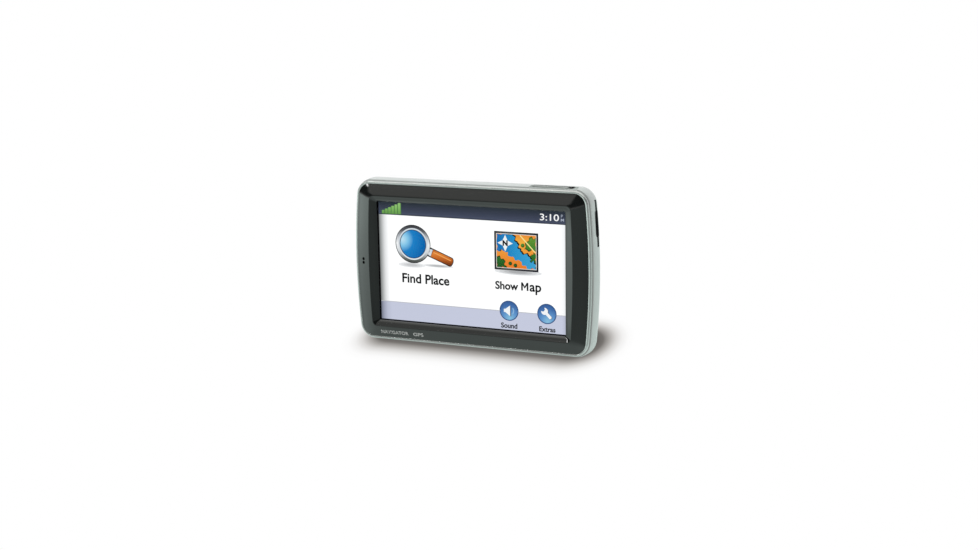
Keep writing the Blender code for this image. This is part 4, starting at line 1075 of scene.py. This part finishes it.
def finish_inner_nodes():
    """Every finish, with the CAD nodes that wear it."""
    steel = (0.56, 0.57, 0.58)
    soft_black, plastic_black = (0.022, 0.022, 0.022), (0.02, 0.02, 0.022)
    finishes = (
        (coat("sheet_steel_look", steel, 0.34, 1.0, mottle=0.08),
         "lcd_frame microphone mid_chassis slide_switch card_socket rf_shield usb_connector"
         " backup_cell speaker_basket"),
        (coat("board_green_look", (0.02, 0.14, 0.06), 0.42, grain=3000, mottle=0.15, clear=0.4),
         "main_board antenna_board"),
        (coat("chip_black_look", (0.028, 0.028, 0.032), 0.62, grain=4000, bump=0.25, mottle=0.1),
         "processor memory_chip flash_chip power_chip"),
        (coat("gold_look", GOLD, 0.26, 1.0, grain=3000, bump=0.05, mottle=0.05),
         "antenna_jack dock_contacts"),
        (coat("connector_cream_look", (0.74, 0.69, 0.57), 0.5), "lcd_connector touch_connector"),
        (coat("flex_amber_look", (0.52, 0.23, 0.04), 0.32, grain=1200, bump=0.08, mottle=0.1, clear=0.3),
         "lcd_flex touch_flex"),
        (coat("inner_rubber_look", soft_black, 0.8, bump=0.3), "microphone_boot antenna_coax"),
        (coat("wire_red_look", (0.5, 0.03, 0.02), 0.48), "battery_wire speaker_wire"),
        (coat("inner_black_look", plastic_black, 0.5, bump=0.2), "slide_switch_knob headphone_jack"),
        (coat("foam_look", (0.03, 0.03, 0.03), 0.95, grain=5000, bump=0.6, depth=0.00005),
         "bezel_gasket speaker_gasket"),
        (coat("display_border_look", (0.006, 0.006, 0.008), 0.2, grain=3000, bump=0.02, mottle=0.05),
         "lcd_panel"),
        (coat("light_guide_look", (0.86, 0.9, 0.93), 0.22, grain=4000, clear=0.5), "backlight_guide"),
        (coat("led_strip_look", (0.85, 0.8, 0.42), 0.4, grain=3000), "backlight_led_bar"),
        (coat("patch_ceramic_look", (0.7, 0.63, 0.5), 0.55, bump=0.2, mottle=0.08), "patch_antenna"),
        (coat("electrode_look", (0.82, 0.81, 0.78), 0.36, 1.0, bump=0.15), "patch_electrode"),
        (coat("magnet_look", (0.06, 0.06, 0.065), 0.5, 0.5, grain=1500, bump=0.25, mottle=0.15),
         "speaker_magnet"),
        (coat("cone_paper_look", (0.045, 0.045, 0.045), 0.85, grain=1800, bump=0.5, depth=0.00005),
         "speaker_cone"),
        (coat("battery_foil_look", (0.46, 0.48, 0.5), 0.36, 0.7, grain=700, bump=0.2, mottle=0.08),
         "battery_cell"),
        (clear_film("touch_panel_look", (0.97, 0.975, 0.975, 1), 0.2, 0.06), "touch_panel"),
        (coat("chassis_screw_look", (0.25, 0.25, 0.26), 0.34, 1.0),
         " ".join(f"chassis_screw_{place}" for place in CASE_SCREWS)),
    )
    for finish, nodes in finishes:
        for node in nodes.split():
            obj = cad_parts[node]
            if not obj.material_slots:
                obj.data.materials.append(finish)
            for slot in obj.material_slots:
                slot.material = finish


# ---------------------------------------------------------------- floor, light and camera

# Distances are in metres, and azimuths in degrees from the front to the right. The camera sees a
# white floor and room. Reflections see the levels below instead, which set the light and dark bands
# on the gloss and the rim, and everything else sees a plain fill.
FLOOR_HALF, FLOOR_Z = 3.0, -0.0001
FLOOR_FILL, WORLD_FILL = 0.8, (0.55, 0.75)
GLOSS_TINT, PLAIN_TINT = (0.86, 1.0, 0.95), (1.0, 1.0, 1.0)

# The painted soft shadow on the floor: a rounded rectangle that leans back to the right, with a grey for
# each distance from its edge, in display levels.
SHADOW_CENTRE, SHADOW_HALF, SHADOW_ROUND = (-0.003, 0.021), (0.0732, 0.0444), 0.0437
SHADOW_SKEW, SHADOW_STRETCH = -0.139, 2.296
SHADOW_SPAN, SHADOW_WARMTH = 0.06, 0.055
SHADOW_LEVELS = (
    (-0.06, 40), (-0.04, 50), (-0.025, 75), (-0.011, 115), (-0.003, 172), (0.005, 216), (0.013, 241),
    (0.021, 252), (0.03, 255),
)
# Inside the painted shadow the floor gives less light to reflections and fill, down to this share.
SHADED, SHADED_SHARE = (-0.045, 0.01), 0.1

# The floor's level in reflections. Shallow rays go by azimuth and distance, and steep ones by how
# near the front of the object they land.
FLOOR_LEFT, FLOOR_LEFT_COSINES, FLOOR_LEFT_LEVELS = -58, (0.883, 0.97), (0.4, 2.3)
FLOOR_RIGHT, FLOOR_RIGHT_COSINES, FLOOR_RIGHT_SHARE = 75, (0.5, 0.9), 0.7
FLOOR_FAR, FLOOR_FAR_SHARES = (0.1, 0.6), (0.78, 1.25)
FLOOR_NEAR, FLOOR_NEAR_LEVEL, FRONT_Y = (0.005, 0.025), 1.43, -0.0135
STEEP_TO_SHALLOW = (-0.6, -0.14)
BEHIND_LEVEL, BEHIND_FROM = 1.1, (0.15, 0.75)

# The room's level in reflections, by elevation in degrees: at most azimuths, and at the window's.
SKY_LEVELS = (
    (-90, 1.0), (-1, 1.0), (3, 0.03), (44, 0.03), (50, 0.7), (55, 2.1), (64, 2.1), (74, 1.1), (90, 0.9),
)
WINDOW_LEVELS = (
    (-90, 1.0), (-1, 1.0), (4, 0.03), (11, 0.03), (15, 0.8), (38, 0.8), (44, 0.6), (54, 2.1),
    (64, 2.1), (90, 1.0),
)
WINDOW_AZIMUTH, WINDOW_EDGES = -26, (22, 14)
LAMP_DIRECTION, LAMP_EDGES, LAMP_LEVEL = (-0.635, -0.533, 0.559), (6.5, 4), 15.0


def cosines(angles):
    return [math.cos(math.radians(angle)) for angle in angles]


def ray_split(nodes, for_camera, for_glossy, otherwise):
    """One light value for the camera, one for reflections and one for everything else."""
    path = nodes.add("LightPath")
    share = nodes.mix(path.outputs["Is Glossy Ray"], otherwise, for_glossy)
    return nodes.mix(path.outputs["Is Camera Ray"], share, for_camera)


def facing(nodes, x, y, azimuth):
    """Cosine of the angle between a flat direction and an azimuth."""
    length = nodes.math("SQRT", nodes.plus(nodes.times(x, x), nodes.times(y, y)))
    turn = math.radians(azimuth)
    dot = nodes.plus(nodes.times(x, math.sin(turn)), nodes.times(y, -math.cos(turn)))
    return nodes.math("DIVIDE", dot, nodes.math("MAXIMUM", length, 0.0001))


def shadow_distance(nodes, x, y):
    """Signed distance from the edge of the shadow."""
    across = nodes.minus(x, SHADOW_CENTRE[0])
    along = nodes.minus(y, SHADOW_CENTRE[1])
    across = nodes.minus(across, nodes.times(along, SHADOW_SKEW))
    across = nodes.math("ABSOLUTE", nodes.times(across, SHADOW_STRETCH))
    dx = nodes.minus(across, SHADOW_HALF[0] * SHADOW_STRETCH - SHADOW_ROUND)
    dy = nodes.minus(nodes.math("ABSOLUTE", along), SHADOW_HALF[1] - SHADOW_ROUND)
    far_x, far_y = nodes.math("MAXIMUM", dx, 0.0), nodes.math("MAXIMUM", dy, 0.0)
    outside = nodes.math("SQRT", nodes.plus(nodes.times(far_x, far_x), nodes.times(far_y, far_y)))
    inside = nodes.math("MINIMUM", nodes.math("MAXIMUM", dx, dy), 0.0)
    return nodes.minus(nodes.plus(outside, inside), SHADOW_ROUND)


def shadow_stops():
    """Ramp stops for the shadow: a warm grey at each distance from its edge."""
    made = []
    for distance, value in SHADOW_LEVELS:
        warm = (255 - value) * value / 255 * SHADOW_WARMTH
        made.append((0.5 + distance / SHADOW_SPAN / 2, srgb(value + warm, value, value - warm)))
    return made


def studio_floor():
    """White paper that gives off its own light: a painted soft contact shadow for the camera, and light for
    reflections that is stronger at the left and dimmer inside the shadow.
    """
    mesh = bmesh.new()
    bmesh.ops.create_grid(mesh, x_segments=4, y_segments=4, size=FLOOR_HALF)
    data = bpy.data.meshes.new("floor")
    mesh.to_mesh(data)
    mesh.free()
    floor = bpy.data.objects.new("floor", data)
    floor.location.z = FLOOR_Z
    bpy.context.scene.collection.objects.link(floor)
    nodes = new_material("floor_paper")
    geometry = nodes.add("NewGeometry").outputs
    spot = nodes.add("SeparateXYZ", {0: geometry["Position"]}).outputs
    away = nodes.add("VectorMath", {0: geometry["Position"]}, operation="LENGTH").outputs["Value"]
    ray = nodes.add("VectorMath", {0: geometry["Incoming"], 1: (-1, -1, -1)}, operation="MULTIPLY")
    ray = nodes.add("SeparateXYZ", {0: ray.outputs[0]}).outputs
    edge = shadow_distance(nodes, spot["X"], spot["Y"])
    seen = nodes.ramp(nodes.spread(edge, -SHADOW_SPAN, SHADOW_SPAN), shadow_stops())
    open_share = nodes.spread(edge, *SHADED, SHADED_SHARE, 1.0)
    left = facing(nodes, ray["X"], ray["Y"], FLOOR_LEFT)
    left = nodes.spread(left, *FLOOR_LEFT_COSINES, *FLOOR_LEFT_LEVELS)
    shallow = nodes.times(left, nodes.spread(away, *FLOOR_FAR, *FLOOR_FAR_SHARES))
    ahead = nodes.times(nodes.plus(spot["Y"], -FRONT_Y), -1.0)
    steep = nodes.spread(ahead, *FLOOR_NEAR, FLOOR_NEAR_LEVEL, 1.0)
    level = nodes.between(nodes.spread(ray["Z"], *STEEP_TO_SHALLOW, 1.0, 0.0), shallow, steep)
    right = facing(nodes, ray["X"], ray["Y"], FLOOR_RIGHT)
    right = nodes.spread(right, *FLOOR_RIGHT_COSINES, 1.0, FLOOR_RIGHT_SHARE)
    level = nodes.times(level, right)
    level = nodes.between(nodes.spread(ray["Y"], *BEHIND_FROM), level, BEHIND_LEVEL)
    glossy = nodes.scaled(GLOSS_TINT, nodes.times(level, open_share))
    diffuse = nodes.scaled(PLAIN_TINT, nodes.times(open_share, FLOOR_FILL))
    data.materials.append(nodes.surface("Emission", {"Color": ray_split(nodes, seen, glossy, diffuse)}))


def sky_stops(levels):
    """Ramp stops for brightness at elevations in degrees."""
    return [
        ((math.sin(math.radians(angle)) + 1) / 2, (level, level, level * 0.96, 1.0))
        for angle, level in levels
    ]


def studio_world():
    """White room: in reflections it has a dark stretch above the horizon and soft light overhead."""
    world = bpy.data.worlds.new("studio")
    bpy.context.scene.world = world
    nodes = Nodes(world, "OutputWorld", "Generated")
    parts = nodes.add("SeparateXYZ", {0: nodes.place}).outputs
    x, y, z = (parts[axis] for axis in "XYZ")
    rise = nodes.spread(z, -1.0, 1.0)
    dark, bright = (nodes.ramp(rise, sky_stops(levels)) for levels in (SKY_LEVELS, WINDOW_LEVELS))
    window = nodes.spread(facing(nodes, x, y, WINDOW_AZIMUTH), *cosines(WINDOW_EDGES))
    sky = nodes.mix(window, dark, bright)
    lamp = nodes.add("VectorMath", {0: nodes.place, 1: LAMP_DIRECTION}, operation="DOT_PRODUCT")
    glow = nodes.spread(lamp.outputs["Value"], *cosines(LAMP_EDGES))
    sky = nodes.mix(glow, sky, (LAMP_LEVEL, LAMP_LEVEL, LAMP_LEVEL, 1.0))
    behind = nodes.spread(y, *BEHIND_FROM)
    sky = nodes.mix(behind, sky, (BEHIND_LEVEL, BEHIND_LEVEL, BEHIND_LEVEL, 1.0))
    fill = nodes.scaled(PLAIN_TINT, nodes.spread(z, -0.2, 1.0, *WORLD_FILL))
    nodes.surface("Background", {"Color": ray_split(nodes, (1.0, 1.0, 1.0, 1.0), sky, fill)})


def panel(name, place, size, power):
    """A soft light: its face is hidden from reflections, which see the studio instead."""
    light = bpy.data.lights.new(name, "AREA")
    light.shape = "RECTANGLE"
    light.size, light.size_y = size
    light.energy = power
    light.specular_factor = 0.0
    obj = bpy.data.objects.new(name, light)
    obj.location = place
    direction = Vector((0, 0, 0.05)) - Vector(place)
    obj.rotation_euler = direction.to_track_quat("-Z", "Y").to_euler()
    obj.visible_glossy = False
    bpy.context.scene.collection.objects.link(obj)


def floor_and_light():
    view = bpy.context.scene.view_settings
    view.view_transform = "Standard"
    view.look = "None"
    studio_floor()
    studio_world()
    panel("overhead_softbox", (-0.1, 0.05, 0.9), (0.7, 0.7), 2.5)
    panel("left_softbox", (-0.9, -0.5, 0.6), (0.6, 0.6), 3.0)


def camera():
    """The viewing angle of the product picture: from the right, a little above, a touch of roll."""
    azimuth, elevation, roll = math.radians(24.05), math.radians(11.61), math.radians(-0.83)
    distance, lens = 0.816, 54.32
    target = Vector((11.271, -9.937, MID_Z - 3.776)) * MM
    right = Vector((math.cos(azimuth), math.sin(azimuth), 0))
    flat = math.cos(elevation)
    back = Vector((math.sin(azimuth) * flat, -math.cos(azimuth) * flat, math.sin(elevation)))
    up = back.cross(right)
    rolled_right = right * math.cos(roll) + up * math.sin(roll)
    rolled_up = up * math.cos(roll) - right * math.sin(roll)
    data = bpy.data.cameras.new("camera")
    data.lens = lens
    data.sensor_width = 36.0
    data.clip_start = 0.01
    obj = bpy.data.objects.new("camera", data)
    turn = Matrix((rolled_right, rolled_up, back)).transposed().to_4x4()
    obj.matrix_world = Matrix.Translation(target + back * distance) @ turn
    bpy.context.scene.collection.objects.link(obj)
    bpy.context.scene.camera = obj


# ---------------------------------------------------------------- build


def main():
    bezel = (0.007, 0.0085, 0.008)
    front_bezel(coat("bezel_gloss_look", bezel, 0.1, bump=0.01, mottle=0.05, wear=0.1, specular=0.6))
    trim_ring(silver_lacquer("trim_silver_look", srgb(186, 190, 188), 0.3, 0.75, 0.03))
    shell = silver_lacquer("housing_silver_look", srgb(191, 197, 195), 0.42, 0.45, 0.12)
    # Seam colour, darker than the shell's paint: painted shade for the groove between the rim and the shell.
    seam = coat("seam_painted_shade_look", srgb(160, 165, 162), 0.6, grain=2200, bump=0.2)
    # Recess colour, darker than the shell: painted shade in the hollow round the power slider.
    recess = coat("recess_painted_shade_look", srgb(166, 174, 170), 0.5, grain=2200, bump=0.2)
    black = coat("black_plastic_look", (0.02, 0.02, 0.022), 0.5, grain=2200, bump=0.3, wear=0.2)
    rear_housing(shell, black, seam, recess)
    speaker_grille(black)
    cradle_socket(black)
    antenna_cap(coat("rubber_look", (0.024, 0.024, 0.024), 0.78, grain=2600, bump=0.4, wear=0.2))
    case_screws(coat("screw_look", (0.24, 0.24, 0.25), 0.34, 1.0, wear=0.5))
    power_slider(coat("key_grey_look", srgb(150, 156, 152), 0.42, bump=0.2, wear=0.3))
    card = coat("card_plastic_look", (0.014, 0.015, 0.019), 0.45, grain=2600, bump=0.3, wear=0.2)
    contact = coat("card_contact_look", GOLD, 0.26, 1.0, grain=3000, bump=0.05, mottle=0.05)
    label = coat("card_label_look", (0.62, 0.65, 0.68), 0.55, grain=2600, bump=0.15)
    memory_card(card, contact, label)
    spring(coat("spring_steel_look", (0.56, 0.57, 0.58), 0.3, 1.0))
    finish_inner_nodes()
    bezel_mark(coat("mark_print_look", (0.55, 0.57, 0.55), 0.5, grain=3000))
    screen_frame_pictures()
    screen_status()
    search_icon()
    map_icon()
    round_buttons()
    labels()
    floor_and_light()
    camera()


main()
